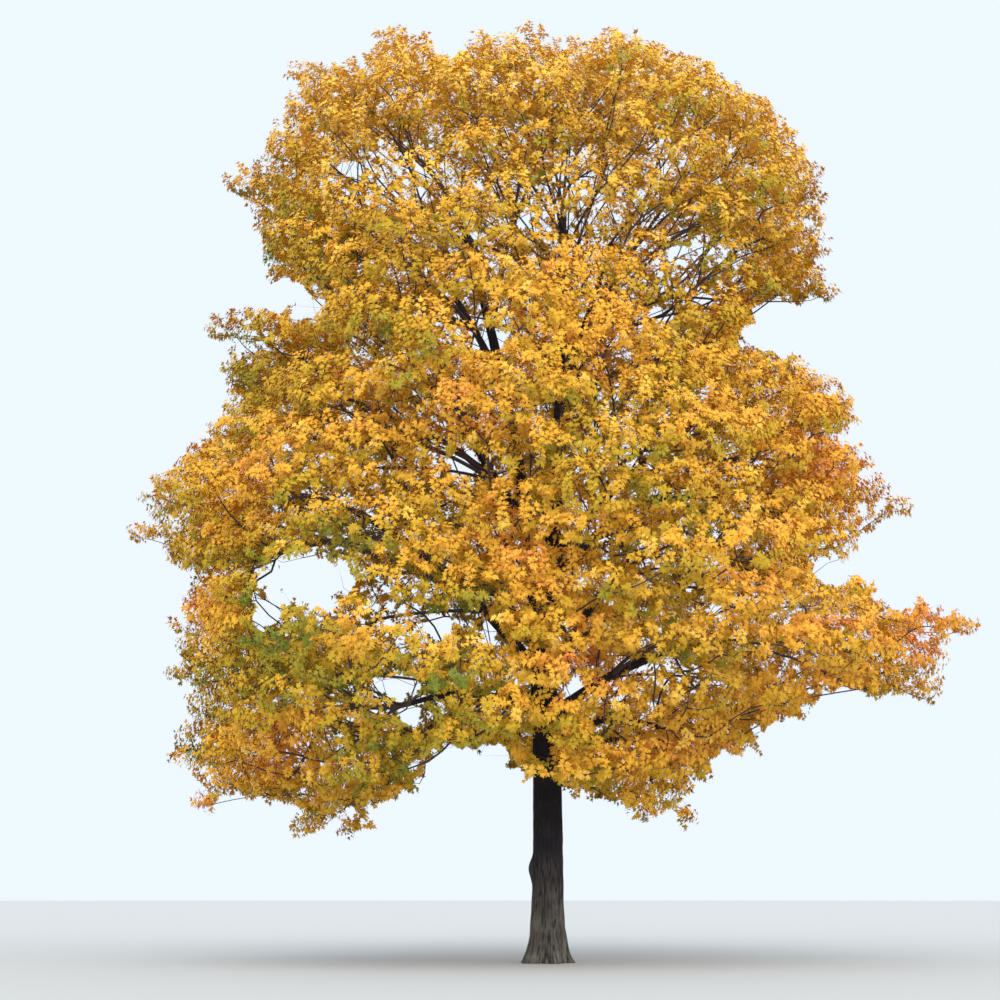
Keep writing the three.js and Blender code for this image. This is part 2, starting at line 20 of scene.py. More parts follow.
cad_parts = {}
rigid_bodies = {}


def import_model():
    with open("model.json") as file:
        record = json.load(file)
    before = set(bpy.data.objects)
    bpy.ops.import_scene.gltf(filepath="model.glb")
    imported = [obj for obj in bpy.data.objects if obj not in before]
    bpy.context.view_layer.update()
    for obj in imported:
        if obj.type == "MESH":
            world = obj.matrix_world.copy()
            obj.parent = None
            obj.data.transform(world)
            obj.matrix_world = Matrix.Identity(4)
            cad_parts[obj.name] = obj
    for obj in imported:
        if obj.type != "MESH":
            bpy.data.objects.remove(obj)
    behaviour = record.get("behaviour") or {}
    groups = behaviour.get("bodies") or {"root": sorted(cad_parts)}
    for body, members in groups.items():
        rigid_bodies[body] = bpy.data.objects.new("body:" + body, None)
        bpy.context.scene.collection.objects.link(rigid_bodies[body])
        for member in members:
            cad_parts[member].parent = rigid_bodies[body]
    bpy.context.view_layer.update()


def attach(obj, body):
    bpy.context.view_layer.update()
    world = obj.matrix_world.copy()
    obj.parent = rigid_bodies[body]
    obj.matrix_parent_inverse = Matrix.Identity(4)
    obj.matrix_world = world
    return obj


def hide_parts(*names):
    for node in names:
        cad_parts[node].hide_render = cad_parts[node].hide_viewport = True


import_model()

bl_info = {
    "name": "Silver Maple in Autumn",
    "version": (1, 0, 0),
    "blender": (4, 5, 0),
    "location": "View3D > Sidebar > Maple",
    "description": "Bark, twigs and leaves of a large maple with gold and orange autumn leaves",
    "category": "Object",
}

# Trunk up to the fork. It bows to the right by half of TRUNK_BOW and comes back.
FORK_HEIGHT = 6.5
TRUNK_RADII = (0.315, 0.25)
TRUNK_LEAN = -0.07
TRUNK_BOW = 0.13
FLARE_RADIUS = 0.165
FLARE_HEIGHT = 0.42
ROOT_LOBES = 5
ROOT_LOBE_DEPTH = 0.2
BURL = {"height": 1.82, "angle": math.pi, "size": 0.075, "half_height": 0.21, "half_angle": 0.5}

LEADERS = (
    {"name": "leader_right", "root": (-0.03, 0, 6.15), "bend": (0.48, 0.16, 10.6),
     "tip": (0.45, 0.4, 15.7), "radii": (0.19, 0.085)},
    {"name": "leader_left", "root": (-0.09, 0, 6.15), "bend": (-0.35, -0.26, 10.4),
     "tip": (-1.65, -0.45, 15.0), "radii": (0.165, 0.072)},
)

# Crown. Each profile gives the reach to one side, from CROWN_BOTTOM up in steps of PROFILE_STEP.
TREE_TOP = 20.0
CROWN_BOTTOM = 2.5
PROFILE_STEP = 0.75
LEFT_REACH = (
    5.6, 7.2, 7.6, 7.55, 7.7, 7.65, 7.55, 7.5, 8.3, 8.45, 7.9, 7.1,
    6.7, 7.0, 6.95, 6.2, 6.0, 6.35, 6.75, 6.5, 6.0, 5.75, 5.5, 3.9,
)
RIGHT_REACH = (
    3.0, 3.2, 4.4, 5.7, 7.9, 8.5, 8.7, 6.3, 6.8, 7.6, 7.0, 6.7,
    6.7, 5.6, 5.5, 6.2, 6.2, 6.25, 6.25, 6.0, 5.6, 4.9, 4.15, 2.2,
)
# The crown's underside, from UNDERSIDE_START across to the right in steps of UNDERSIDE_STEP.
UNDERSIDE_START = -7.5
UNDERSIDE_STEP = 1.0
UNDERSIDE = (
    3.9, 3.0, 3.1, 2.5, 2.85, 3.2, 3.5, 3.5, 3.3, 2.95, 2.5, 3.7, 4.3, 4.8, 5.0, 5.1, 6.2,
)
DEPTH_REACH = 7.4
WIDEST_HEIGHT = 8.0
DEPTH_BELOW = 6.2
DEPTH_ABOVE = 12.3
DEPTH_POWER = 2.6
SECTION_POWER = 2.5
LOBE_DEPTH = 0.09
LOBE_PITCH = 1.25

UP = np.array((0.0, 0.0, 1.0))
FRONT = np.array((0.0, -1.0, 0.0))
# The profiles are the outline as it is seen from this place, in front of the tree.
EYE = np.array((-0.9, -36.0, 1.3))
# Openings where the sky shows through the crown and notches in its outline: x, z, half width, half height.
SKY = {
    "left_hole": (-4.85, 7.62, 0.85, 0.52), "left_notch": (-5.7, 13.75, 0.85, 0.33),
    "right_notch": (4.9, 12.75, 0.6, 0.35), "right_slot": (5.9, 7.75, 0.45, 0.28),
    "over_spur": (8.5, 7.38, 1.0, 0.4),
}
# More openings in the leaves, which twigs may cross.
GAPS = {
    "left_hole_foot": (-5.7, 6.95, 0.27, 0.3), "left_edge": (-7.75, 7.65, 0.5, 0.25),
    "under_left_boughs": (-1.6, 3.75, 1.1, 0.45), "low_left_limbs": (-3.0, 5.45, 0.45, 0.2),
    "beside_low_left_limbs": (-2.7, 4.8, 0.2, 0.16), "over_left_boughs": (-2.2, 6.7, 0.3, 0.25),
    "beside_fork": (-1.1, 6.6, 0.18, 0.22), "beside_left_leader": (-1.6, 10.05, 0.28, 0.22),
    "stem_fan": (-1.15, 12.75, 0.45, 0.2), "left_notch_end": (-5.1, 13.4, 0.3, 0.22),
    "left_edge_high": (-6.65, 15.3, 0.4, 0.4), "top_left_dip": (-4.5, 19.5, 0.6, 0.4),
    "top_dip": (-2.0, 19.8, 0.45, 0.5), "top_right_slope": (4.4, 18.95, 0.7, 0.3),
    "upper_left_fan": (-4.1, 16.6, 0.32, 0.16), "upper_left_stems": (-2.6, 16.05, 0.15, 0.12),
    "upper_stems": (-0.4, 15.45, 0.13, 0.13), "beside_right_leader": (0.5, 15.4, 0.13, 0.2),
    "over_right_leader": (1.05, 16.5, 0.14, 0.11), "upper_right_limbs": (2.9, 14.7, 0.26, 0.13),
    "right_limbs": (3.4, 13.65, 0.26, 0.12), "right_limbs_low": (2.5, 13.35, 0.26, 0.14),
    "over_right_notch": (4.95, 13.35, 0.5, 0.28), "under_hanging_lobe": (5.7, 12.9, 0.5, 0.4),
    "above_spur": (7.25, 7.3, 0.55, 0.33), "under_right": (6.0, 5.0, 0.7, 0.4),
    "under_right_shoulder": (4.8, 4.45, 0.6, 0.28), "beside_right_drop": (3.7, 3.75, 0.35, 0.35),
    "over_right_drop": (0.6, 5.4, 0.16, 0.18),
}
# Thin places, where small glimpses of the sky and the limbs show between the leaves.
LACE = {
    "upper_left": (-3.4, 16.5, 2.0, 1.3), "upper_middle": (0.5, 15.8, 1.5, 1.5),
    "upper_right": (3.2, 14.4, 1.6, 1.2), "stem_fan": (-1.4, 13.1, 1.2, 0.9),
    "left_leader": (-1.6, 10.1, 0.8, 0.6), "left_lobe": (-6.2, 12.8, 0.9, 0.8),
    "left_boughs": (-2.9, 7.0, 1.3, 1.0), "left_hole": (-4.9, 7.5, 1.5, 1.1),
    "low_left_boughs": (-2.8, 5.1, 1.2, 0.7), "round_trunk": (0.1, 4.3, 0.5, 0.4),
    "right_boughs": (2.6, 5.7, 0.9, 0.6), "right_shoulder": (5.9, 8.3, 0.9, 0.7),
}
LACE_OPEN = 0.24
LACE_PITCH = 0.27
# Tufts of leaves that stand out past the even outline.
TUFTS = {
    "upper_left": (-6.45, 16.3, 0.6, 0.28), "left_lobe": (-6.75, 13.0, 0.35, 0.6),
    "left_shoulder": (-8.25, 8.6, 0.4, 0.3), "left_side": (-7.4, 6.65, 0.3, 0.3),
    "left_low": (-7.4, 5.7, 0.3, 0.35), "left_skirt": (-7.35, 4.05, 0.27, 0.3),
    "left_foot": (-6.75, 3.1, 0.4, 0.27), "left_drop": (-4.7, 2.6, 0.4, 0.35),
    "second_left_drop": (-3.75, 2.65, 0.5, 0.35), "right_drop": (2.75, 2.85, 0.4, 0.4),
    "second_right_drop": (1.9, 2.95, 0.45, 0.3), "under_spur": (7.55, 5.35, 0.6, 0.42),
    "spur_tip": (8.5, 6.65, 0.45, 0.22), "right_hang": (6.0, 13.8, 0.32, 0.4),
    "right_shoulder": (7.3, 9.15, 0.42, 0.36), "top_left": (-3.3, 19.75, 0.5, 0.26),
    "top": (-0.2, 19.85, 0.45, 0.22), "top_left_tuft": (-5.3, 18.9, 0.4, 0.3),
}
TUFT_DEPTH = -0.8
TUFT_THICKNESS = 1.2
TUFT_RIPPLE = 0.3
# Places where no leaves hang in front of a limb, and how far back the leaves stay.
BARE_LIMBS = {
    "right_leader": (0.27, 11.2, 0.12, 0.25), "trunk_top": (-0.1, 4.2, 0.15, 0.2),
}
BARE_DEPTH = 0.3
# The edges of leaves and gaps waver by a coarse and a fine ripple, each with its pitch and weight.
RIPPLES = ((0.9, 0.5), (0.36, 0.5))
GAP_RIPPLE = 0.55
EDGE_RIPPLE = 0.28
# The leaves may stand a little wider than the solids to the sides, and not as deep.
SPARE_WIDTH = np.array((0.975, 1.0, 1.0))
LEAFY_SECTION = 0.97
# The furthest tips, each reached by a twig of its own.
TIPS = {
    "right_spur": (8.7, 6.6), "left_shoulder": (-8.45, 8.85), "left_side": (-7.35, 6.9),
    "left_skirt": (-7.5, 5.1), "left_foot": (-6.9, 3.15), "left_drop": (-4.7, 2.55),
    "right_drop": (2.75, 2.6), "left_lobe": (-7.0, 12.5), "upper_left": (-6.75, 16.25),
    "top_left_tuft": (-5.45, 18.9), "top_left": (-3.5, 19.95), "top_dip": (-2.25, 19.55),
    "top": (-0.2, 19.98), "top_right": (2.0, 19.65), "top_right_edge": (3.5, 18.95),
    "upper_right": (6.2, 15.6), "right_hang": (6.1, 13.7), "right_shoulder": (7.45, 9.3),
}

# Tiers of leaf masses, evenly round the tree from the azimuth called turn. A bough serves each pair.
TIERS = (
    {"name": "skirt", "height": 4.9, "tilt": 0.3, "count": 8, "turn": 21, "heart": 0.66, "bough": 0.48,
     "root_height": 3.85, "bow": 0.1, "radii": (0.105, 0.046), "parents": ("trunk",)},
    {"name": "lower", "height": 8.0, "tilt": 1.2, "count": 8, "turn": 0, "heart": 0.67, "bough": 0.5,
     "root_height": 4.7, "bow": 0.08, "radii": (0.125, 0.05), "parents": ("trunk",)},
    {"name": "middle", "height": 11.0, "tilt": 1.0, "count": 8, "turn": 22, "heart": 0.64, "bough": 0.48,
     "root_height": 7.5, "bow": 0.06, "radii": (0.105, 0.046), "parents": ("leader_right", "leader_left")},
    {"name": "upper", "height": 14.6, "tilt": 0.6, "count": 6, "turn": 30, "heart": 0.64, "bough": 0.42,
     "root_height": 10.4, "bow": 0.05, "radii": (0.085, 0.042), "parents": ("leader_right", "leader_left")},
    {"name": "top", "height": 17.25, "tilt": 0.0, "count": 5, "turn": 54, "heart": 0.64, "bough": 0,
     "parents": ("leader_right", "leader_left")},
)
PEAK = {"name": "leaves_peak", "heart": (-0.35, 0.25, 18.25), "parent": "leader_right", "tier": "top"}
ROOT_HEIGHT_STEP = 0.42
ROOT_HEIGHTS = (0, 3, 2, 1)
BOUGH_TIP_DROP = 0.3
BOUGH_BEND_PLACE = 0.45
HALVINGS = 24

# The source's rule inside a mass: the free space, and the places of its twigs and sprays.
CELL_MARGIN = 0.06
LIMB_CLEARANCE = 0.07
STEM_RADIUS = 0.038
STEM_SEAT_DEPTH = 0.03
STEM_ASIDE = 0.52
STEM_WIDTH_SHARE = 0.45
CORE_CORNERS = 20
TWIGS = 10
SIDE_TWIGS = 4
OUTWARD_BIAS = 0.55
TIP_DEPTH_SHARE = 0.7
LONGEST_TWIG = 4.2
REACH_STEP = 0.1
SIDE_TWIG_PLACE = 0.5
BLADE_LENGTH = 1.9
BLADE_WIDTH_SHARE = 0.78
BLADE_THICKNESS_SHARE = 0.09
BLADE_WIDEST = 0.45
BLADE_STANDS_OUT = 0.35
BLADE_SWAY = 1.6
BLADE_SIZES = (1, 0.82, 0.66, 0.5)
TIP_BLADE_SIZES = (1, 0.82, 0.66, 0.5, 0.36)
BLADE_PLACES = (0.95, 0.86, 0.76, 0.66)
BLADE_SPACING = 0.39
SHORTEST_TWIG = 0.5
HANG_OUTWARD = 0.5
GOLDEN_ANGLE = math.pi * (3 - math.sqrt(5))
LINE_STEPS = {"trunk": 14, "leader": 8, "bough": 5, "stem": 1}
DRAWS = {"stride": 7919, "offset": 17, "factor": 1664525, "step": 1013904223, "range": 2 ** 32}

# Finer growth than the solids have. Clumps of sprays fill the crown's outside first, with air between them.
SEED = 41
CLUMP_TRIALS = 36000
CLUMP_ROOM = np.array((9.0, 8.4))
CLUMP_RADII = (0.55, 1.1)
CLUMP_SPACING = 0.6
CLUMP_FLATNESS = 0.62
CLUMP_SEAT = 0.85
CLUMP_UNDERSIDE = 0.42
CLUMP_LEAN = 1.0
CLUMP_REACH = (0.72, 1.02)
CLUMP_FOOT = (0.3, 0.25)
ORDER_SCATTER = 1.5
CLUMP_SCATTER = 0.13
SHOOT_INSET = 0.3
SHORTEST_REACH = 0.1
FEWEST_SPRAYS = 4
SPRAY_DEPTHS = (1.3, 3.0)
SPRAY_SHARES = (1.0, 0.5)
CROWN_MIDDLE = np.array((-0.3, 0.0, 9.0))
CROWN_FLATNESS = np.array((1.0, 1.0, 0.6))
THICK_SHELL = 1.1
UNDERSIDE_WEIGHT = 2.2
SHELL_FADE = 1.7
INNER_SHARE = 0.04
LIMB_AIR = 0.25
NODE_STEP = 0.33
MOST_NODES = 6000
LONGEST_SLANT = 0.35
SLANT_SHARE = 0.3
TWIG_RISE = 0.08
BEND_PLACE = 0.3
STEM_SLANT = 0.45
WAY_CHECKS = (0.35, 0.65)
SETTLING_ROUNDS = 2
SETTLING = 0.3
PATH_WEIGHT = 0.35
BRANCH_WEIGHT = 0.8
RISE_WEIGHT = 0.7
LEAST_RISE = 0.5
GAP_WEIGHT = 3.0
SHOW_WEIGHT = 1.0
LIMB_ANCHORS = 14
FIRST_ANCHOR = 0.35
ROUND_TWIG_RADIUS = 0.011
SHOOT_LENGTH = 0.26
LOAD_POWER = 0.44
LEAF_STALK = 0.05
LAID_FLAT = 0.7
SOFTNESS = 0.93
# How leaves stand: the way that their spray looks, and how far they stray, lean ahead, droop and fold.
ASPECT_OUTWARD = 0.7
ASPECT_UP = 0.35
LEAF_SCATTER = 0.25
SHOOT_SCATTER = 0.2
PAIR_TURN = 0.5
MOST_LEAN = 0.8
DROOP = 0.25
END_DROOP = 0.4
LEAF_SIZES = (0.7, 1.2)
LEAF_WIDTHS = (0.85, 1.05)
LEAF_FOLDS = (0.2, 1.9)

# A leaf with five deep lobes, 1 long with its foot at the origin. Two narrow triangles cross in its middle,
# each from a low lobe to the high lobe across, and a third is the long lobe. Places as x, y and height.
CROSSED_LOBES = ((-0.48, 0.10, 0.02), (0.15, -0.05, -0.05), (0.58, 0.60, 0.13))
LONG_LOBE = ((-0.27, 0.31, 0.07), (0.27, 0.31, 0.07), (0.0, 1.0, -0.14))
SPRAY_EDGE = 0.12
LEAF_EDGE = 0.05
LEAF_MIDDLE = 0.6

# Tints of the leaves from the coolest to the warmest: share of all sprays, base colour and description.
TINTS = {
    "green": (0.008, (0.17, 0.19, 0.02), "Leaves that haven't turned yet"),
    # The cooler, darker tints also carry painted shade on the clumps' undersides and in the crown's hollows.
    "olive": (0.06, (0.34, 0.255, 0.018), "Leaves that begin to turn"),
    "ochre": (0.18, (0.54, 0.318, 0.018), "Dull yellow leaves in the hollows of the crown"),
    "gold": (0.28, (0.67, 0.345, 0.022), "Most of the leaves"),
    # Besides its own share, this tint carries the painted light of the high sprays.
    "light_gold": (0.05, (0.86, 0.485, 0.055), "The brightest yellow leaves"),
    "amber": (0.30, (0.79, 0.365, 0.026), "Gold leaves with some orange"),
    "light_orange": (0.08, (0.86, 0.373, 0.036), "Bright orange leaves"),
    "orange": (0.035, (0.87, 0.325, 0.036), "Orange leaves of the outer sprays"),
    "red_orange": (0.007, (0.82, 0.255, 0.045), "The reddest leaves at the furthest tips"),
}
# Painted light: high in the crown, where the leaves get the most light, some sprays have a lighter tint,
# standing in for light through the thin top leaves.
PAINTED_LIGHT_TINTS = {
    "ochre": "gold", "gold": "light_gold", "amber": "light_gold",
    "light_orange": "light_gold", "orange": "amber",
}
PAINTED_LIGHT_HEIGHTS = (12.0, 17.0)
PAINTED_LIGHT_SHARES = (0.0, 1.0)
# Where the leaves are warmer than the rest, or still greener: x, z, radius and gain.
WARM_PLACES = {
    "left_shoulder": (-6.1, 9.8, 1.0, 0.42), "left_band": (-4.3, 11.4, 1.6, 0.10),
    "over_middle": (-1.7, 12.0, 1.2, 0.22), "upper_front": (1.4, 12.7, 1.1, 0.32),
    "under_fork": (-0.1, 14.1, 0.7, 0.12), "upper_right": (3.9, 11.9, 1.2, 0.16),
    "right_shoulder": (5.8, 9.9, 1.7, 0.26), "middle": (-0.9, 9.0, 1.0, 0.22),
    "right_of_middle": (1.4, 8.7, 0.8, 0.22), "heart": (-0.2, 7.9, 0.6, 0.26),
    "low_front": (0.9, 6.2, 0.8, 0.44), "low_right": (5.3, 6.7, 1.8, 0.24), "spur": (7.9, 6.5, 1.0, 0.6),
    "right_drop": (2.3, 4.2, 1.3, 0.3), "low_left_lobe": (-5.4, 4.2, 0.8, 0.46),
    "left_edge_lobe": (-7.0, 7.0, 0.7, 0.32), "under_left_hole": (-4.0, 6.7, 0.6, 0.28),
    "left_foot": (-6.7, 3.1, 0.6, 0.32), "low_left": (-4.7, 6.3, 2.7, -0.13),
    "low_left_edge": (-6.9, 5.3, 1.1, -0.13), "left_of_trunk": (-2.5, 5.2, 1.4, -0.14),
    "over_left_hole": (-4.8, 8.9, 1.3, -0.07), "left_lobe": (-6.5, 12.5, 1.2, -0.13),
    "upper_left": (-5.6, 16.0, 1.6, -0.14), "beside_fork": (-1.5, 7.2, 0.6, -0.25),
    "over_spur": (5.3, 8.3, 0.7, -0.15), "under_spur": (6.9, 5.5, 0.8, -0.15),
    "upper_limbs": (2.8, 13.9, 1.0, -0.07),
}
# What else warms or cools a spray: noises by pitch, shift and weight, chance, its place on its clump and its
# depth in the crown.
WARM_NOISES = ((2.3, 3.0, 0.27), (0.9, 11.0, 0.42))
WARM_SCATTER = 0.025
# Partly the leaves' own turning and partly painted light and shade: clump tops get warmer, lighter tints,
# and undersides and deep hollows cooler, darker ones.
TOP_WARMTH_AND_PAINTED_LIGHT = 0.32
HOLLOW_COOLING_AND_PAINTED_SHADE = 0.12
MEAN_SLOPE = 0.25
HOLLOW_SHADE_DEPTHS = (0.75, 3.25)
WARM_PLACE_GAIN = 1.3

BARK_COLOURS = {
    "bark_ridge": ((0.105, 0.094, 0.073), "Weathered tops of the bark's ridges near the ground"),
    # Painted shade: the same ridges darkened for the crown's shade on the upper trunk and the limbs.
    "bark_high": ((0.012, 0.009, 0.012), "The same ridges under the crown and on the limbs"),
    "bark_furrow": ((0.009, 0.007, 0.008), "Dark bottoms of the bark's furrows"),
    "twig": ((0.055, 0.036, 0.031), "Young bark of the twigs"),
}
# Roughness and specular level.
FINISHES = {"bark": (0.92, 0.2), "twig": (0.85, 0.2), "leaf": (0.7, 0.08), "floor": (0.9, 0.2)}
# Sides and rings of the limbs' skins, their furrows against the trunk's, and the swelling at their roots.
TRUNK_SKIN = {"sides": 128, "rings": 150, "depth": 1.0, "spacing": 1.0}
LEADER_SKIN = {"sides": 56, "rings": 120, "depth": 0.6, "spacing": 0.8, "root_swell": 0.3}
BOUGH_SKIN = {"sides": 24, "rings": 48, "depth": 0.3, "spacing": 0.6, "root_swell": 0.5}
BOUGH_BRIGHTNESS = 1.5
FURROW_STRETCH = 13
FURROW_SWAY = 0.3
SWAY_NOISE = 0.8
CRACK_NOISE = Vector((2.2, 2.2, 2.5))
FURROW_WIDTH = 0.11
CRACK_WIDTH = 0.1
CRACK_DEPTH = 0.4
RIDGE_SHARE = 0.3
COLLAR_LENGTH = 2.2
UNEVEN = 0.012
UNEVEN_NOISE = 3.1
UPRIGHT_SHARE = 0.2
# Heights over which painted shade darkens the ridges upward; the paler bark low down is partly its own
# weathering.
PAINTED_BARK_SHADE_HEIGHTS = (0.3, 2.2)

# The suns' spread, tilt from straight above and turn from the middle in degrees, and their colours.
SUNS = {
    "key": {"spread": 60, "colour": (1.0, 0.96, 0.89), "tilt": 46, "turn": -18},
    "fill": {"spread": 90, "colour": (1.0, 0.97, 0.92), "tilt": 74, "turn": 18},
}
SENSOR_WIDTH = 36
VIEW_END = 1000
FLOOR_RADIUS = 400
FLOOR_SIDES = 96


def colour_property(name, default, description):
    return FloatVectorProperty(
        name=name.replace("_", " ").title(), description=description, subtype="COLOR", default=default)


class MapleSizes(bpy.types.PropertyGroup):
    """Sizes of the leaves, twigs and bark."""

    leaf_length: FloatProperty(
        name="Leaf Length", description="From a leaf's foot to its tip", default=0.098, unit="LENGTH")
    leaf_pairs: IntProperty(
        name="Leaf Pairs", description="Opposite pairs of leaves in one spray", default=5, min=2)
    sprays: IntProperty(
        name="Sprays", description="Sprays of leaves on the whole tree", default=32000, min=100)
    twig_radius: FloatProperty(
        name="Twig Radius", description="Radius of a twig with one spray", default=0.0032, unit="LENGTH")
    furrow_depth: FloatProperty(
        name="Furrow Depth", description="Depth of the trunk's furrows", default=0.02, unit="LENGTH")
    furrow_width: FloatProperty(
        name="Furrow Spacing", description="From one furrow to the next", default=0.05, unit="LENGTH")


class MapleColours(bpy.types.PropertyGroup):
    """Base colours of the leaves and the bark."""

    __annotations__ = {
        name: colour_property(name, *values[-2:]) for name, values in (TINTS | BARK_COLOURS).items()
    }


class MapleStudio(bpy.types.PropertyGroup):
    """The camera, the lights and the floor."""

    eye: FloatVectorProperty(
        name="Camera Place", description="Where the camera stands", subtype="TRANSLATION",
        default=(-0.9008, -36.0, 1.3))
    pitch: FloatProperty(
        name="Camera Pitch", description="How far the camera looks up", subtype="ANGLE",
        default=math.radians(12.51))
    lens: FloatProperty(name="Lens", description="Focal length in millimetres", default=64.09)
    key_strength: FloatProperty(name="Key", description="Strength of the key light", default=1.3)
    fill_strength: FloatProperty(name="Fill", description="Strength of the wider light", default=2.55)
    sky_strength: FloatProperty(name="Sky Strength", description="Strength of the even light", default=1.48)
    sky: colour_property("sky", (0.57, 0.635, 0.71), "Colour of the even light and the background")
    floor: colour_property("floor", (0.50, 0.51, 0.50), "Colour of the floor")
    gamma: FloatProperty(name="Gamma", description="Above 1 opens up the shadows", default=1.15)


def sizes():
    return bpy.context.scene.maple_sizes


def colours():
    return bpy.context.scene.maple_colours


def unit(vectors):
    return vectors / np.maximum(norm(vectors, axis=-1, keepdims=True), 1e-12)


def seeded_draws(seed):
    """Draws from 0 to 1, the same as the source's."""
    state = seed * DRAWS["stride"] + DRAWS["offset"]

    def draw():
        nonlocal state
        state = (state * DRAWS["factor"] + DRAWS["step"]) % DRAWS["range"]
        return state / DRAWS["range"]

    draw()
    draw()
    return draw


def between(values, place):
    return np.interp(place, np.arange(len(values)), values)


def left_reach(height):
    return between(LEFT_REACH, (height - CROWN_BOTTOM) / PROFILE_STEP)


def right_reach(height):
    return between(RIGHT_REACH, (height - CROWN_BOTTOM) / PROFILE_STEP)


def underside(x):
    return between(UNDERSIDE, (x - UNDERSIDE_START) / UNDERSIDE_STEP)


def depth_reach(height, x):
    span = np.where(height < WIDEST_HEIGHT, DEPTH_BELOW, DEPTH_ABOVE)
    rise = np.minimum(np.abs(height - WIDEST_HEIGHT) / span, 1)
    lobes = 1 + LOBE_DEPTH * np.sin(height / LOBE_PITCH + x / LOBE_PITCH)
    return DEPTH_REACH * np.sqrt(1 - rise ** DEPTH_POWER) * lobes


def seen_in_front(points):
    """Where points are seen from the eye, on the upright plane through the trunk: x and z."""
    scale = -EYE[1] / (points[..., 1] - EYE[1])
    x = EYE[0] + (points[..., 0] - EYE[0]) * scale
    z = EYE[2] + (points[..., 2] - EYE[2]) * scale
    return x, z


def window_place(x, z, window):
    """0 in the middle of an oval window and 1 on its edge."""
    middle_x, middle_z, half_width, half_height = window
    return np.hypot((x - middle_x) / half_width, (z - middle_z) / half_height)


def outside_windows(x, z, windows):
    return np.all([window_place(x, z, window) > 1 for window in windows.values()], axis=0)


def inside_outline(points):
    x, z = seen_in_front(points)
    inside = (z <= TREE_TOP) & (z >= underside(x)) & (x >= -left_reach(z)) & (x <= right_reach(z))
    return inside & outside_windows(x, z, SKY)


def section_place(points):
    """0 on the crown's middle line and 1 on its surface, by its rounded level sections."""
    left = left_reach(points[..., 2])
    right = right_reach(points[..., 2])
    across = np.abs(points[..., 0] - (right - left) / 2) / ((right + left) / 2)
    deep = np.abs(points[..., 1]) / np.maximum(depth_reach(points[..., 2], points[..., 0]), 0.001)
    return across ** SECTION_POWER + deep ** SECTION_POWER


def inside_crown(points):
    level = (points[..., 2] >= CROWN_BOTTOM) & (points[..., 2] <= TREE_TOP)
    return level & (section_place(points) < 1) & inside_outline(points)


def crown_reach(height, azimuth):
    side = right_reach(height) if math.cos(azimuth) > 0 else left_reach(height)
    across = abs(math.cos(azimuth)) / side
    deep = abs(math.sin(azimuth)) / depth_reach(height, 0)
    return 1 / (across ** SECTION_POWER + deep ** SECTION_POWER) ** (1 / SECTION_POWER)


def at_azimuth(azimuth, distance, height):
    return np.array((math.cos(azimuth) * distance, math.sin(azimuth) * distance, height))


def curve_point(root, bend, tip, along):
    a = np.asarray(along, float)[..., None]
    return (1 - a) ** 2 * root + 2 * a * (1 - a) * bend + a ** 2 * tip


class Limb:
    """A round rod that tapers along a curve with one bend."""

    def __init__(self, name, root, bend, tip, radii):
        self.name = name
        self.root, self.bend, self.tip = (np.array(place, float) for place in (root, bend, tip))
        self.radii = radii
        steps = LINE_STEPS[name.split("_")[0]]
        self.line = self.point(np.linspace(0, 1, steps + 1))

    def point(self, along):
        return curve_point(self.root, self.bend, self.tip, along)

    def tangent(self, along):
        a = np.asarray(along, float)[..., None]
        return unit((1 - a) * (self.bend - self.root) + a * (self.tip - self.bend))

    def at_height(self, height):
        low, high = 0.0, 1.0
        for _ in range(HALVINGS):
            middle = (low + high) / 2
            if self.point(middle)[2] < height:
                low = middle
            else:
                high = middle
        return self.point(low)


class Mass:
    """One mass of foliage: its heart, its stem from a bough, and its free space."""

    def __init__(self, name, tier, heart, limb):
        self.name, self.tier, self.heart, self.limb = name, tier, heart, limb
        aim = unit(heart - limb.tip)
        tangent = limb.tangent(1)
        aside = unit(aim - tangent * (aim @ tangent))
        start = limb.tip + aside * limb.radii[1] * STEM_ASIDE - tangent * STEM_SEAT_DEPTH
        radius = min(STEM_RADIUS, limb.radii[1] * STEM_WIDTH_SHARE)
        self.stem = Limb("stem", start, (start + heart) / 2, heart, (radius, radius))
        self.outward = unit(heart * (1, 1, 0))
        self.tips = []


def azimuth_of(tier, index):
    return math.radians(tier["turn"] + 360 / tier["count"] * index)


def tier_height(tier, azimuth):
    return tier["height"] - tier["tilt"] * math.cos(azimuth)


def nearest_parent(limbs, names, point):
    choices = [limb for limb in limbs if limb.name in names]
    return min(choices, key=lambda limb: norm(limb.at_height(point[2]) - point))


def make_bough(tier, index, limbs):
    turn = azimuth_of(tier, 2 * index + 0.5)
    aim = at_azimuth(turn, crown_reach(tier["height"], turn) * tier["bough"], tier["root_height"])
    parent = nearest_parent(limbs, tier["parents"], aim)
    root = parent.at_height(tier["root_height"] + ROOT_HEIGHT_STEP * ROOT_HEIGHTS[index])
    height = tier_height(tier, turn)
    tip = at_azimuth(turn, crown_reach(height, turn) * tier["bough"], height - BOUGH_TIP_DROP)
    bend = root + (tip - root) * BOUGH_BEND_PLACE
    bend[2] += norm(tip - root) * tier["bow"] * 2
    return Limb(f"bough_{tier['name']}_{index + 1}", root, bend, tip, tier["radii"])


def grow_limbs():
    limbs = [Limb("trunk", (0, 0, 0), (TRUNK_BOW, 0, FORK_HEIGHT / 2), (TRUNK_LEAN, 0, FORK_HEIGHT),
                  TRUNK_RADII)]
    limbs += [Limb(**leader) for leader in LEADERS]
    for tier in TIERS:
        if tier["bough"]:
            limbs += [make_bough(tier, index, limbs) for index in range(tier["count"] // 2)]
    return limbs


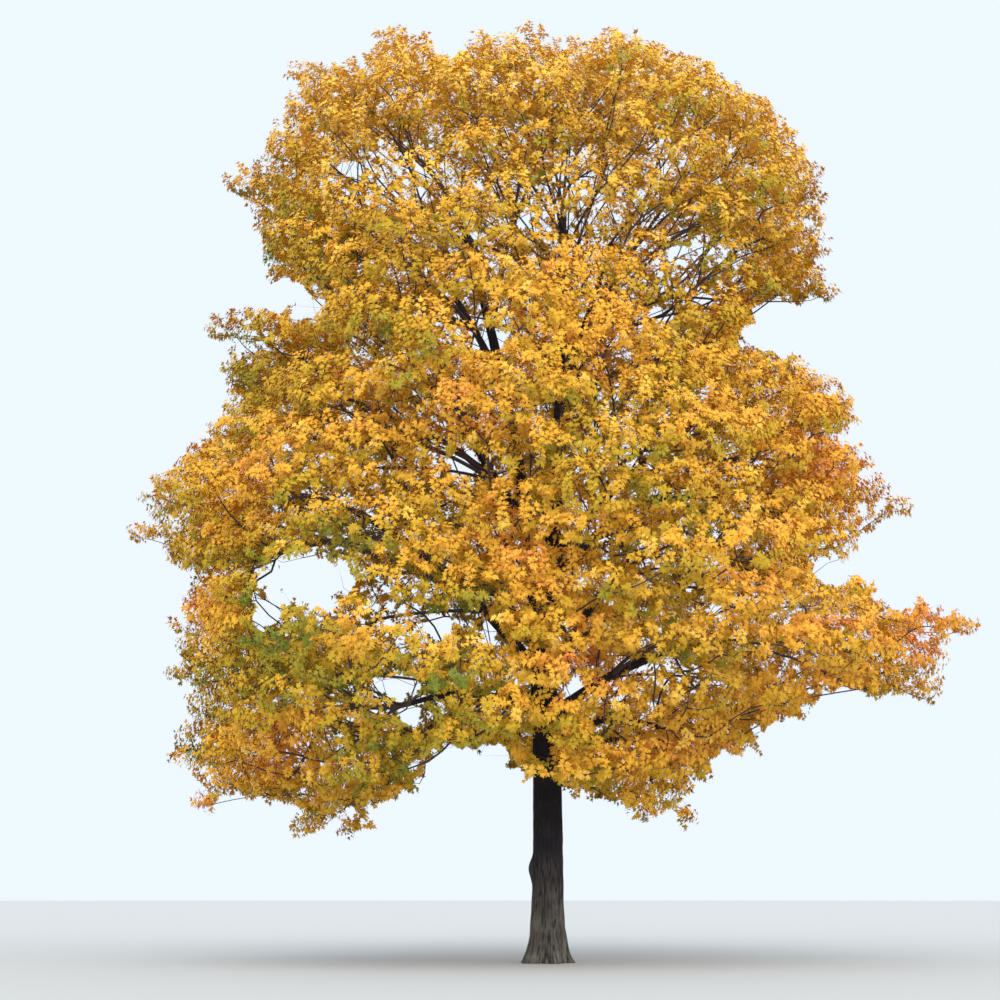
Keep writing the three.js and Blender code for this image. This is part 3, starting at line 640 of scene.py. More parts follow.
def grow_masses(limbs):
    by_name = {limb.name: limb for limb in limbs}
    masses = []
    for tier in TIERS:
        for index in range(tier["count"]):
            azimuth = azimuth_of(tier, index)
            height = tier_height(tier, azimuth)
            heart = at_azimuth(azimuth, crown_reach(height, azimuth) * tier["heart"], height)
            limb = by_name.get(f"bough_{tier['name']}_{index // 2 + 1}")
            limb = limb or nearest_parent(limbs, tier["parents"], heart)
            masses.append(Mass(f"leaves_{tier['name']}_{index + 1}", tier["name"], heart, limb))
    masses.append(Mass(PEAK["name"], PEAK["tier"], np.array(PEAK["heart"]), by_name[PEAK["parent"]]))
    for x, z in TIPS.values():
        point = np.array((x, 0.0, z))
        mass = min(masses, key=lambda each: norm(each.heart - point))
        depth = mass.heart[1] * TIP_DEPTH_SHARE
        mass.tips.append(EYE + (point - EYE) * (depth - EYE[1]) / (point[1] - EYE[1]))
    hearts = np.array([mass.heart for mass in masses])
    for mass in masses:
        lines = [(limb.line, limb.radii[0]) for limb in limbs]
        lines += [(other.stem.line, other.stem.radii[0]) for other in masses if other is not mass]
        mass.starts = np.concatenate([line[:-1] for line, _ in lines])
        mass.ends = np.concatenate([line[1:] for line, _ in lines])
        mass.widths = np.concatenate([np.full(len(line) - 1, radius) for line, radius in lines])
        mass.rivals = hearts[[other is not mass for other in masses]]
    return masses


def inside_cell(points, mass):
    own = ((points - mass.heart) ** 2).sum(-1)
    other = ((points[..., None, :] - mass.rivals) ** 2).sum(-1)
    span = 2 * norm(mass.rivals - mass.heart, axis=-1)
    return ((other - own[..., None]) / span > CELL_MARGIN).all(-1)


def clear_of_limbs(points, mass):
    run = mass.ends - mass.starts
    share = ((points[:, None] - mass.starts) * run).sum(-1) / (run ** 2).sum(-1)
    foot = mass.starts + run * np.clip(share, 0, 1)[..., None]
    distance = norm(points[:, None] - foot, axis=-1) - mass.widths
    return (distance > LIMB_CLEARANCE).all(-1)


def are_free(points, mass):
    points = np.atleast_2d(points)
    return inside_cell(points, mass) & inside_crown(points) & clear_of_limbs(points, mass)


def free_reach(start, direction, mass):
    steps = REACH_STEP * np.arange(1, round(LONGEST_TWIG / REACH_STEP) + 1)
    free = are_free(start + steps[:, None] * direction, mass)
    return LONGEST_TWIG if free.all() else REACH_STEP * int(np.argmin(free))


def spiral_direction(index, count, turn):
    level = 1 - 2 * (index + 0.5) / count
    round_share = math.sqrt(1 - level * level)
    angle = index * GOLDEN_ANGLE + turn
    return np.array((math.cos(angle) * round_share, math.sin(angle) * round_share, level))


def blade_is_free(neck, tip, outward, mass):
    rib = tip - neck
    length = norm(rib)
    width = unit(np.cross(rib, outward))
    face = unit(np.cross(width, rib)) * length * BLADE_THICKNESS_SHARE / 2
    width = width * length * BLADE_WIDTH_SHARE / 2
    middle = neck + rib * BLADE_WIDEST
    corners = np.array((neck, tip, middle, middle + width, middle - width, middle + face))
    return bool(are_free(corners, mass).all())


def hanging_rib(direction, outward, sway):
    side = unit(np.cross(direction, outward * HANG_OUTWARD - UP))
    hang = unit(np.cross(side, direction))
    return unit(hang + side * sway + direction * BLADE_STANDS_OUT)


def twig_with_blade(root, neck, tip, outward, mass):
    """A twig from its root to the neck of a blade, or nothing where the blade isn't free."""
    if blade_is_free(neck, tip, outward, mass):
        middle = neck + (tip - neck) * BLADE_WIDEST
        return {"root": root, "neck": neck, "middle": middle, "length": norm(tip - neck)}
    return None


def place_twig(root, direction, rib, reach, twigs, mass):
    """The source's search for the largest blade and the furthest place that keep free."""
    for size, place in itertools.product(BLADE_SIZES, BLADE_PLACES):
        length = BLADE_LENGTH * size
        middle = root + direction * reach * place
        neck = middle - rib * length * BLADE_WIDEST
        gaps = [norm(twig["middle"] - middle) / (twig["length"] + length) for twig in twigs]
        if norm(root - neck) > SHORTEST_TWIG and min(gaps, default=1) > BLADE_SPACING:
            twig = twig_with_blade(root, neck, neck + rib * length, direction, mass)
            if twig:
                return twig
    return None


def place_tip_twig(aim, mass):
    direction = unit(aim - mass.heart)
    tip = mass.heart + direction * free_reach(mass.heart, direction, mass)
    for outward, size in itertools.product((FRONT, UP), TIP_BLADE_SIZES):
        twig = twig_with_blade(mass.heart, tip - direction * BLADE_LENGTH * size, tip, outward, mass)
        if twig:
            return twig
    return None


def first_twigs(mass, index):
    """The twigs that the mass's solid has, by the same rule and draws."""
    draw = seeded_draws(index + 1)
    for _ in range(CORE_CORNERS):
        draw()
    turn = draw() * 2 * math.pi
    twigs = [twig for twig in (place_tip_twig(tip, mass) for tip in mass.tips) if twig]

    def grow(root, direction):
        rib = hanging_rib(direction, mass.outward, BLADE_SWAY * (draw() - 0.5))
        twig = place_twig(root, direction, rib, free_reach(root, direction, mass), twigs, mass)
        if twig:
            twigs.append(twig)

    for i in range(TWIGS):
        grow(mass.heart, unit(spiral_direction(i, TWIGS, turn) + mass.outward * OUTWARD_BIAS))
    for i, twig in enumerate(twigs[:SIDE_TWIGS]):
        root = twig["root"] + (twig["neck"] - twig["root"]) * SIDE_TWIG_PLACE
        along = unit(twig["neck"] - twig["root"])
        across = unit(np.cross(spiral_direction(i, SIDE_TWIGS, turn + 1), along))
        grow(root, unit(along + across))
    return twigs


def noise_at(points, pitch, shift):
    move = Vector((shift, shift, shift))
    return np.array([noise.noise(Vector(point) / pitch + move) for point in points])


def ripple_at(x, z, pitch):
    """A ripple from -1 to 1."""
    turn = 2 * math.pi / pitch
    first = np.sin(turn * x + 1.3 * np.sin(0.6 * turn * z))
    second = np.sin(turn * (0.55 * x + 0.9 * z) + 1.7 * np.sin(turn / 2 * x))
    return (first + second) / 2


def is_leafy(points, edge):
    """Whether points lie inside the crown as it is seen, by a wavering edge, and in none of its gaps."""
    x, z = seen_in_front(points)
    ripple = sum(weight * ripple_at(x, z, pitch) for pitch, weight in RIPPLES)
    fine = ripple_at(x, z, LACE_PITCH)
    edge = edge + EDGE_RIPPLE * ripple
    leafy = (z < TREE_TOP - edge) & (z > underside(x) + edge)
    leafy &= (x > edge - left_reach(z)) & (x < right_reach(z) - edge)
    leafy &= section_place(points * SPARE_WIDTH) < LEAFY_SECTION
    near = np.abs(points[..., 1] - TUFT_DEPTH) < TUFT_THICKNESS
    for window in TUFTS.values():
        leafy |= near & (window_place(x, z, window) + TUFT_RIPPLE * ripple < 1)
    for window in (*SKY.values(), *GAPS.values()):
        leafy &= window_place(x, z, window) + GAP_RIPPLE * ripple > 1
    for window in LACE.values():
        leafy &= fine < LACE_OPEN + window_place(x, z, window) ** 2
    for window in BARE_LIMBS.values():
        leafy &= (window_place(x, z, window) + GAP_RIPPLE * ripple > 1) | (points[..., 1] > BARE_DEPTH)
    return leafy


def crown_depth(points):
    """About how far points lie below the crown's surface."""
    share = section_place(points) ** (1 / SECTION_POWER)
    half_width = (left_reach(points[..., 2]) + right_reach(points[..., 2])) / 2
    inward = (1 - share) * np.minimum(half_width, depth_reach(points[..., 2], points[..., 0]))
    x, z = seen_in_front(points)
    beside = np.minimum(x + left_reach(z), right_reach(z) - x)
    above = UNDERSIDE_WEIGHT * (z - underside(x))
    return np.minimum.reduce((inward, beside, TREE_TOP - np.maximum(z, points[..., 2]), above))


def clump_places(limbs):
    """The middle, radius and depth of each clump of sprays."""
    rng = np.random.default_rng(SEED)
    places = rng.uniform((*-CLUMP_ROOM, CROWN_BOTTOM), (*CLUMP_ROOM, TREE_TOP), (CLUMP_TRIALS, 3))
    radii = rng.uniform(*CLUMP_RADII, CLUMP_TRIALS)
    places, radii = (part[inside_crown(places)] for part in (places, radii))
    depth = crown_depth(places)
    wanted = np.clip(1 - (depth - THICK_SHELL) / SHELL_FADE, INNER_SHARE, 1) > rng.uniform(size=len(places))
    wanted &= (depth > CLUMP_SEAT * radii) & is_leafy(places, 0.0)
    for limb in limbs:
        gap = norm(places[:, None] - limb.line, axis=-1).min(1)
        wanted &= gap > limb.radii[0] + LIMB_AIR
    places, radii, depth = places[wanted], radii[wanted], depth[wanted]
    order = np.argsort(depth / radii + rng.uniform(0, ORDER_SCATTER, len(depth)))
    tufts = np.array([(x, 0.0, z) for x, z, _, _ in TUFTS.values()])
    tufts = EYE + (tufts - EYE) * (TUFT_DEPTH - EYE[1]) / -EYE[1]
    places = np.concatenate((tufts, places[order]))
    radii = np.concatenate(([max(window[2:]) for window in TUFTS.values()], radii[order]))
    depth = np.concatenate((np.zeros(len(tufts)), depth[order]))
    stretch = np.array((1, 1, 1 / CLUMP_FLATNESS))
    kept = list(range(len(tufts)))
    for trial in range(len(tufts), len(places)):
        gap = norm((places[kept] - places[trial]) * stretch, axis=-1)
        if (gap > CLUMP_SPACING * (radii[kept] + radii[trial])).all():
            kept.append(trial)
    return places[kept], radii[kept], depth[kept]


def outward_at(points):
    return unit((points - CROWN_MIDDLE) * CROWN_FLATNESS)


def clump_sprays(place, radius, count, rng):
    """Where a clump's shoots start: over a dome that leans outward, and a little below its rim."""
    axis = unit(UP + CLUMP_LEAN * outward_at(place))
    beside = unit(np.cross(axis, (0.3, 1.0, 0.2)))
    ahead = np.cross(axis, beside)
    index = np.arange(count)[:, None] + 0.5
    level = 1 - (1 + CLUMP_UNDERSIDE) * index / count
    angle = index * GOLDEN_ANGLE + rng.uniform(0, 2 * math.pi)
    round_share = np.sqrt(1 - level * level)
    radial = beside * np.cos(angle) * round_share + ahead * np.sin(angle) * round_share + axis * level
    radial = unit(radial + rng.normal(0, CLUMP_SCATTER, radial.shape))
    reach = radius * rng.uniform(*CLUMP_REACH, (count, 1)) - SHOOT_INSET * SHOOT_LENGTH
    reach = np.maximum(reach, SHORTEST_REACH)
    return place + radial * reach * (1, 1, CLUMP_FLATNESS), radial


class TwigTree:
    """The nodes of one mass's twigs, each joined to its parent or set on a limb."""

    def __init__(self):
        self.place = np.zeros((MOST_NODES, 3))
        self.path, self.load = np.zeros((2, MOST_NODES))
        self.parent = np.full(MOST_NODES, -1)
        self.count = 0

    def add(self, place, parent=-1, path=0.0):
        node = self.count
        self.place[node] = place
        self.parent[node] = parent
        if parent >= 0:
            path = self.path[parent] + norm(place - self.place[parent])
        self.path[node] = path
        self.count += 1
        return node

    def nearest(self, point, first=0):
        """The node that a new twig leaves from: near, low, on a short path, and not across a gap."""
        places = self.place[first:self.count]
        reach = norm(places - point, axis=1)
        weight = PATH_WEIGHT if first else BRANCH_WEIGHT
        cost = reach + weight * self.path[first:self.count]
        if first == 0:
            cost += RISE_WEIGHT * np.maximum(0, LEAST_RISE * reach - (point - places)[:, 2])
            for share in WAY_CHECKS:
                way = places + (point - places) * share
                cost += GAP_WEIGHT * ~inside_outline(way)
                cost += SHOW_WEIGHT * ~outside_windows(*seen_in_front(way), GAPS)
        return first + int(np.argmin(cost))

    def branch_to(self, point, parent):
        """A twig that leaves its parent at a slant and rises a little on its way to a point."""
        root = self.place[parent].copy()
        length = norm(point - root)
        slant = min(length * SLANT_SHARE, LONGEST_SLANT) if self.parent[parent] >= 0 else 0.0
        before = self.place[self.parent[parent]]
        bend = root + unit(root - before) * slant + UP * length * TWIG_RISE + (point - root) * BEND_PLACE
        for place in curve_nodes(root, bend, point):
            parent = self.add(place, parent)
        return parent

    def carry(self):
        """Adds up how many sprays each node carries."""
        for node in range(self.count - 1, -1, -1):
            if self.parent[node] >= 0:
                self.load[self.parent[node]] += self.load[node]

    def heaviest_child(self):
        heaviest = np.full(self.count, -1)
        for node in range(self.count):
            parent = self.parent[node]
            if parent >= 0 and (heaviest[parent] < 0 or self.load[node] > self.load[heaviest[parent]]):
                heaviest[parent] = node
        return heaviest

    def settle(self):
        """Rounds the twigs' corners."""
        heaviest = self.heaviest_child()
        for _ in range(SETTLING_ROUNDS):
            for node in range(self.count):
                parent, child = self.parent[node], heaviest[node]
                if parent >= 0 and child >= 0:
                    middle = (self.place[parent] + self.place[child]) / 2
                    self.place[node] += SETTLING * (middle - self.place[node])


def curve_nodes(root, bend, tip):
    steps = max(1, round(norm(tip - root) / NODE_STEP))
    return curve_point(root, bend, tip, np.linspace(0, 1, steps + 1)[1:])


def grow_mass_twigs(mass, index, clumps, rng):
    """The stem, the first twigs that leave it, a twig to each clump and one to each spray.

    Gives back the tree, and each spray's node and its direction from the middle of its clump."""
    tree = TwigTree()
    limb = mass.limb
    for along in np.linspace(FIRST_ANCHOR, 1, LIMB_ANCHORS):
        place = limb.point(along)
        tree.add(place, path=norm(place - limb.root))
    tip = tree.count - 1
    reach = norm(mass.heart - limb.tip)
    stem_nodes = [tip]
    for point in curve_nodes(limb.tip, limb.tip + limb.tangent(1) * reach * STEM_SLANT, mass.heart):
        stem_nodes.append(tree.add(point, stem_nodes[-1]))
    twigs = first_twigs(mass, index)
    for rank, twig in enumerate(twigs):
        share = FIRST_ANCHOR + (1 - FIRST_ANCHOR) * (rank + 1) / len(twigs)
        start = stem_nodes[round(share * (len(stem_nodes) - 1))]
        tree.branch_to(twig["neck"], start)
    nodes, radials = [], []
    clumps = sorted(clumps, key=lambda clump: norm(clump[0] - mass.heart))
    for place, radius, count in clumps:
        foot = place - outward_at(place) * radius * CLUMP_FOOT[0] - UP * radius * CLUMP_FOOT[1]
        entry = tree.branch_to(foot, tree.nearest(foot))
        bases, radial = clump_sprays(place, radius, count, rng)
        leafy = is_leafy(bases, SPRAY_EDGE)
        bases, radial = bases[leafy], radial[leafy]
        for spray in np.argsort(norm(bases - foot, axis=1)):
            node = tree.add(bases[spray], tree.nearest(bases[spray], first=entry))
            tree.load[node] = 1
            nodes.append(node)
            radials.append(radial[spray])
    tree.carry()
    tree.settle()
    return tree, np.array(nodes, int), np.array(radials)


def warmth_of_sprays(points, radial, rng):
    """How warm each spray's tint is. Tops of clumps are warmer and lighter, and undersides and hollows
    cooler and darker: partly the leaves' own turning, partly painted light and painted shade.
    """
    warmth = sum(weight * noise_at(points, pitch, shift) for pitch, shift, weight in WARM_NOISES)
    warmth += rng.normal(0, WARM_SCATTER, len(points))
    # Partly the leaves' own turning, partly painted light on clump tops and painted shade on undersides and
    # in hollows.
    warmth += TOP_WARMTH_AND_PAINTED_LIGHT * (radial[:, 2] - MEAN_SLOPE)
    warmth -= HOLLOW_COOLING_AND_PAINTED_SHADE * np.interp(crown_depth(points), HOLLOW_SHADE_DEPTHS, (0, 1))
    x, z = seen_in_front(points)
    for middle_x, middle_z, radius, gain in WARM_PLACES.values():
        distance = np.hypot(x - middle_x, z - middle_z) / radius
        warmth += WARM_PLACE_GAIN * gain * np.exp(-distance ** 2)
    return warmth


def spray_leaves(base, shoot, radial, rng):
    """Feet, ribs, faces, lengths and sprays of the leaves, and the way that each spray looks.

    Leaves stand in opposite pairs along the shoot, and one ends it. They lie flat on their clump."""
    count = len(base)
    outward = outward_at(base)
    aspect = unit((radial + outward) * ASPECT_OUTWARD + UP * ASPECT_UP)
    side = unit(np.cross(shoot, unit(aspect + rng.normal(0, SHOOT_SCATTER, (count, 3)))))
    above = np.cross(side, shoot)
    feet, ribs = [], []
    pairs = sizes().leaf_pairs
    for pair in range(pairs):
        foot = base + shoot * SHOOT_LENGTH * (pair / pairs - 0.5)
        angle = math.pi / 2 * pair + rng.normal(0, PAIR_TURN, (count, 1))
        cross = side * np.cos(angle) + above * np.sin(angle)
        for hand in (1, -1):
            lean = rng.uniform(0, MOST_LEAN, (count, 1))
            ribs.append(cross * hand + shoot * lean - UP * DROOP + rng.normal(0, LEAF_SCATTER, (count, 3)))
            feet.append(foot + cross * hand * rng.uniform(0, LEAF_STALK, (count, 1)))
    ribs.append(shoot - UP * END_DROOP + rng.normal(0, SHOOT_SCATTER, (count, 3)))
    feet.append(base + shoot * SHOOT_LENGTH / 2)
    spray = np.tile(np.arange(count), len(feet))
    feet, ribs = np.concatenate(feet), np.concatenate(ribs)
    ribs = unit(ribs - LAID_FLAT * aspect[spray] * (ribs * aspect[spray]).sum(-1, keepdims=True))
    face = aspect[spray] + rng.normal(0, LEAF_SCATTER, feet.shape)
    face = unit(face - ribs * (face * ribs).sum(-1, keepdims=True))
    length = sizes().leaf_length * rng.uniform(*LEAF_SIZES, len(feet))
    return feet, ribs, face, length, spray, aspect


@functools.cache
def grown_tree():
    """The whole tree: limbs, and for each mass its twigs, sprays and leaves."""
    limbs = grow_limbs()
    masses = grow_masses(limbs)
    places, radii, depth = clump_places(limbs)
    hearts = np.array([mass.heart for mass in masses])
    owner = np.argmin(((places[:, None] - hearts) ** 2).sum(-1), axis=1)
    share = radii ** 2 * np.interp(depth, SPRAY_DEPTHS, SPRAY_SHARES)
    counts = np.maximum(FEWEST_SPRAYS, np.round(share * sizes().sprays / share.sum())).astype(int)
    grown = []
    for index, mass in enumerate(masses):
        rng = np.random.default_rng(SEED + 1 + index)
        clumps = [(places[i], radii[i], counts[i]) for i in np.flatnonzero(owner == index)]
        tree, nodes, radial = grow_mass_twigs(mass, index, clumps, rng)
        base = tree.place[nodes]
        leaves = spray_leaves(base, unit(base - tree.place[tree.parent[nodes]]), radial, rng)
        warmth = warmth_of_sprays(base, radial, rng)
        grown.append({"mass": mass, "tree": tree, "nodes": nodes, "leaves": leaves, "warmth": warmth})
    edges = np.cumsum([share for share, _, _ in TINTS.values()])[:-1]
    edges = np.quantile(np.concatenate([group["warmth"] for group in grown]), edges)
    for group in grown:
        group["tints"] = with_painted_light(np.searchsorted(edges, group["warmth"]), group)
    return limbs, grown


def with_painted_light(tints, group):
    """The tints, with painted light: some of those high in the crown made lighter."""
    height = group["tree"].place[group["nodes"], 2]
    chance = np.interp(height, PAINTED_LIGHT_HEIGHTS, PAINTED_LIGHT_SHARES)
    chosen = np.random.default_rng(SEED).uniform(size=len(tints)) < chance
    names = list(TINTS)
    result = tints.copy()
    for name, lighter in PAINTED_LIGHT_TINTS.items():
        result[chosen & (tints == names.index(name))] = names.index(lighter)
    return result


def leaf_corners():
    """The corners of a leaf that is 1 long, three to each of its triangles."""
    right = np.array(CROSSED_LOBES)
    left = right[::-1] * (-1, 1, 1)
    return np.concatenate((right, left, LONG_LOBE))


def leaves_mesh(name, groups, rng):
    """One mesh of the leaves of some masses, with each spray's tint as the index of its material.

    Normals lean to the way that the spray looks, so that each clump is lit as one soft dome."""
    corners = leaf_corners()
    triangles = np.arange(len(corners)).reshape(-1, 3)
    places, tints, normals = [], [], []
    for group in groups:
        feet, ribs, face, length, spray, aspect = group["leaves"]
        shown = is_leafy(feet + ribs * length[:, None] * LEAF_MIDDLE, LEAF_EDGE)
        feet, ribs, face, length, spray = (part[shown] for part in (feet, ribs, face, length, spray))
        across = np.cross(ribs, face)
        frame_of_leaf = np.stack((across, ribs, face), axis=1) * length[:, None, None]
        bend = np.ones((len(feet), 1, 3))
        bend[:, 0, 0] = rng.uniform(*LEAF_WIDTHS, len(feet))
        bend[:, 0, 2] = rng.uniform(*LEAF_FOLDS, len(feet))
        places.append(feet[:, None] + (corners * bend) @ frame_of_leaf)
        tints.append(group["tints"][spray])
        normals.append(unit(face * (1 - SOFTNESS) + aspect[spray] * SOFTNESS))
    places = np.concatenate(places)
    tints = np.concatenate(tints)
    count = len(places)
    faces = (triangles[None] + len(corners) * np.arange(count)[:, None, None]).reshape(-1, 3)
    mesh = bpy.data.meshes.new(name)
    mesh.from_pydata(places.reshape(-1, 3), [], faces)
    mesh.polygons.foreach_set("material_index", np.repeat(tints, len(triangles)).astype(np.int32))
    mesh.update()
    mesh.normals_split_custom_set_from_vertices(np.repeat(np.concatenate(normals), len(corners), axis=0))
    return mesh


def tube(line, radii, sides):
    """The vertices and faces of a thin tube that follows a line and tapers to a point."""
    tangent = unit(np.gradient(line, axis=0))
    reference = np.eye(3)[int(np.argmin(np.abs(line[-1] - line[0])))]
    side = unit(np.cross(tangent, reference))
    above = np.cross(side, tangent)
    angle = 2 * math.pi * np.arange(sides)[:, None] / sides
    ring = side[:, None] * np.cos(angle) + above[:, None] * np.sin(angle)
    points = (line[:-1, None] + ring[:-1] * radii[:-1, None, None]).reshape(-1, 3)
    here = np.arange(len(points))
    beside = here + 1 - sides * (here % sides == sides - 1)
    tip = np.full(sides, len(points))
    faces = [np.stack((here, beside, beside + sides), axis=1)[:-sides],
             np.stack((here, beside + sides, here + sides), axis=1)[:-sides],
             np.stack((here[-sides:], beside[-sides:], tip), axis=1)]
    return np.concatenate((points, line[-1:])), np.concatenate(faces)


def twigs_mesh(name, groups):
    """One mesh of the twigs of some masses. Each tube follows its heaviest child to a last shoot."""
    points, faces, count = [], [], 0
    for group in groups:
        tree = group["tree"]
        radius = sizes().twig_radius * np.maximum(tree.load, 1) ** LOAD_POWER
        heaviest = tree.heaviest_child()
        for node in np.flatnonzero(tree.load[:tree.count]):
            parent = tree.parent[node]
            if parent < 0 or (heaviest[parent] == node and tree.parent[parent] >= 0):
                continue
            path = [parent, node]
            while heaviest[path[-1]] >= 0 and tree.load[heaviest[path[-1]]] > 0:
                path.append(heaviest[path[-1]])
            line = tree.place[path]
            line[-1] += unit(line[-1] - line[-2]) * SHOOT_LENGTH / 2
            radii = radius[path]
            radii[0] = radii[1]
            corners, triangles = tube(line, radii, 6 if radii[0] > ROUND_TWIG_RADIUS else 3)
            points.append(corners)
            faces.append(triangles + count)
            count += len(corners)
    mesh = bpy.data.meshes.new(name)
    mesh.from_pydata(np.concatenate(points), [], np.concatenate(faces))
    mesh.shade_smooth()
    return mesh


def plain_material(name, colour, finish):
    roughness, specular = FINISHES[finish]
    material = bpy.data.materials.new(name)
    material.use_nodes = True
    shader = material.node_tree.nodes["Principled BSDF"]
    shader.inputs["Base Color"].default_value = (*colour, 1)
    shader.inputs["Roughness"].default_value = roughness
    shader.inputs["Specular IOR Level"].default_value = specular
    return material


def new_node(tree, kind, inputs, **settings):
    """A node whose inputs are linked to sockets or set to plain values."""
    node = tree.nodes.new(kind)
    for key, value in settings.items():
        setattr(node, key, value)
    fill_inputs(tree, node, inputs)
    return node


def fill_inputs(tree, node, inputs):
    for key, value in inputs.items():
        if isinstance(value, bpy.types.NodeSocket):
            tree.links.new(value, node.inputs[key])
        else:
            node.inputs[key].default_value = value


def map_range(tree, value, low, high, to_low=0.0, to_high=1.0):
    ends = {"From Min": low, "From Max": high, "To Min": to_low, "To Max": to_high}
    return new_node(tree, "ShaderNodeMapRange", {"Value": value, **ends}).outputs["Result"]


@functools.cache
def bark_group():
    """A node group that colours bark from its furrows, its weathering and fine cracks along the limb."""
    group = bpy.data.node_groups.new("furrowed_bark", "ShaderNodeTree")
    for name, kind in {"Ridge": "Color", "Furrow": "Color", "Depth": "Float", "Place": "Vector"}.items():
        group.interface.new_socket(name, in_out="INPUT", socket_type=f"NodeSocket{kind}")
    for name, kind in {"Colour": "Color", "Height": "Float"}.items():
        group.interface.new_socket(name, in_out="OUTPUT", socket_type=f"NodeSocket{kind}")
    given = new_node(group, "NodeGroupInput", {}).outputs
    stretched = new_node(group, "ShaderNodeMapping", {"Vector": given["Place"], "Scale": (1, 1, 0.16)})
    cracks = new_node(group, "ShaderNodeTexNoise", {
        "Vector": stretched.outputs["Vector"], "Scale": 55.0, "Detail": 4.0, "Roughness": 0.65})
    blotches = new_node(group, "ShaderNodeTexNoise", {
        "Vector": given["Place"], "Scale": 2.6, "Detail": 3.0})
    weathered = map_range(group, blotches.outputs["Fac"], 0.35, 0.68, 0.55, 1.35)
    grain = map_range(group, cracks.outputs["Fac"], 0.3, 0.7, 0.6, 1.25)
    both = new_node(group, "ShaderNodeMath", {0: weathered, 1: grain}, operation="MULTIPLY")
    ridge = new_node(group, "ShaderNodeVectorMath", {0: given["Ridge"], "Scale": both.outputs["Value"]},
                     operation="SCALE")
    mix = new_node(group, "ShaderNodeMix", {
        "Factor": given["Depth"], "A": ridge.outputs["Vector"], "B": given["Furrow"]}, data_type="RGBA")
    new_node(group, "NodeGroupOutput", {"Colour": mix.outputs["Result"], "Height": cracks.outputs["Fac"]})
    return group


@functools.cache
def bark_material(name, brightness):
    """Bark that reads its furrows and its place on the limb from the mesh, and darkens upward with painted
    shade under the crown.
    """
    low = (*(brightness * part for part in colours().bark_ridge), 1)
    high = (*(brightness * part for part in colours().bark_high), 1)
    material = plain_material(name, colours().bark_ridge, "bark")
    tree = material.node_tree
    where = new_node(tree, "ShaderNodeTexCoord", {}).outputs["Object"]
    height = new_node(tree, "ShaderNodeSeparateXYZ", {"Vector": where}).outputs["Z"]
    # Painted shade: the ridges darken upward toward the crown.
    rise = map_range(tree, height, *PAINTED_BARK_SHADE_HEIGHTS)
    shade = new_node(tree, "ShaderNodeMix", {"Factor": rise, "A": low, "B": high}, data_type="RGBA")
    depth = new_node(tree, "ShaderNodeAttribute", {}, attribute_name="furrow").outputs["Fac"]
    place = new_node(tree, "ShaderNodeAttribute", {}, attribute_name="bark_place").outputs["Vector"]
    bark = new_node(tree, "ShaderNodeGroup", {
        "Ridge": shade.outputs["Result"], "Furrow": (*colours().bark_furrow, 1),
        "Depth": depth, "Place": place}, node_tree=bark_group())
    bump = new_node(tree, "ShaderNodeBump", {
        "Strength": 0.5, "Distance": 0.01, "Height": bark.outputs["Height"]})
    fill_inputs(tree, tree.nodes["Principled BSDF"], {
        "Base Color": bark.outputs["Colour"], "Normal": bump.outputs["Normal"]})
    return material


def trunk_radius(height, angle):
    """The trunk swells into root lobes at the ground and carries one burl."""
    along = height / FORK_HEIGHT
    flare = math.exp(-height / FLARE_HEIGHT)
    lobes = 1 + ROOT_LOBE_DEPTH * flare * math.cos(ROOT_LOBES * angle)
    turn = math.remainder(angle - BURL["angle"], 2 * math.pi)
    rise = (height - BURL["height"]) / BURL["half_height"]
    burl = math.exp(-rise ** 2 - (turn / BURL["half_angle"]) ** 2)
    even = TRUNK_RADII[0] + (TRUNK_RADII[1] - TRUNK_RADII[0]) * along + FLARE_RADIUS * flare
    return even * lobes + BURL["size"] * burl


def furrow_at(place, spacing):
    """How deep in a furrow a place on the bark lies, from 0 on a ridge to 1. Furrows run along the limb."""
    wide = Vector((place[0] / spacing, place[1] / spacing, place[2] / (spacing * FURROW_STRETCH)))
    sway = Vector((FURROW_SWAY, FURROW_SWAY, 0)) * noise.noise(wide * SWAY_NOISE + Vector((5, 5, 5)))
    valley = math.exp(-(noise.noise(wide + sway) / FURROW_WIDTH) ** 2)
    crack = math.exp(-(noise.noise(wide * CRACK_NOISE + Vector((9, 9, 9))) / CRACK_WIDTH) ** 2)
    return min(1.0, valley + CRACK_DEPTH * crack)


def unit_rod(sides, rings):
    """A rod of radius 1 that stands from 0 to 1, cut into rings, with a pole on its tip."""
    bm = bmesh.new()
    bmesh.ops.create_cone(bm, cap_ends=True, segments=sides, radius1=1, radius2=1, depth=1,
                          matrix=Matrix.Translation((0, 0, 0.5)))
    upright = [edge for edge in bm.edges if abs(edge.verts[0].co.z - edge.verts[1].co.z) > 0.5]
    bmesh.ops.subdivide_edges(bm, edges=upright, cuts=rings - 1)
    caps = [face for face in bm.faces if len(face.verts) == sides and sides > 4]
    bmesh.ops.poke(bm, faces=caps)
    return bm


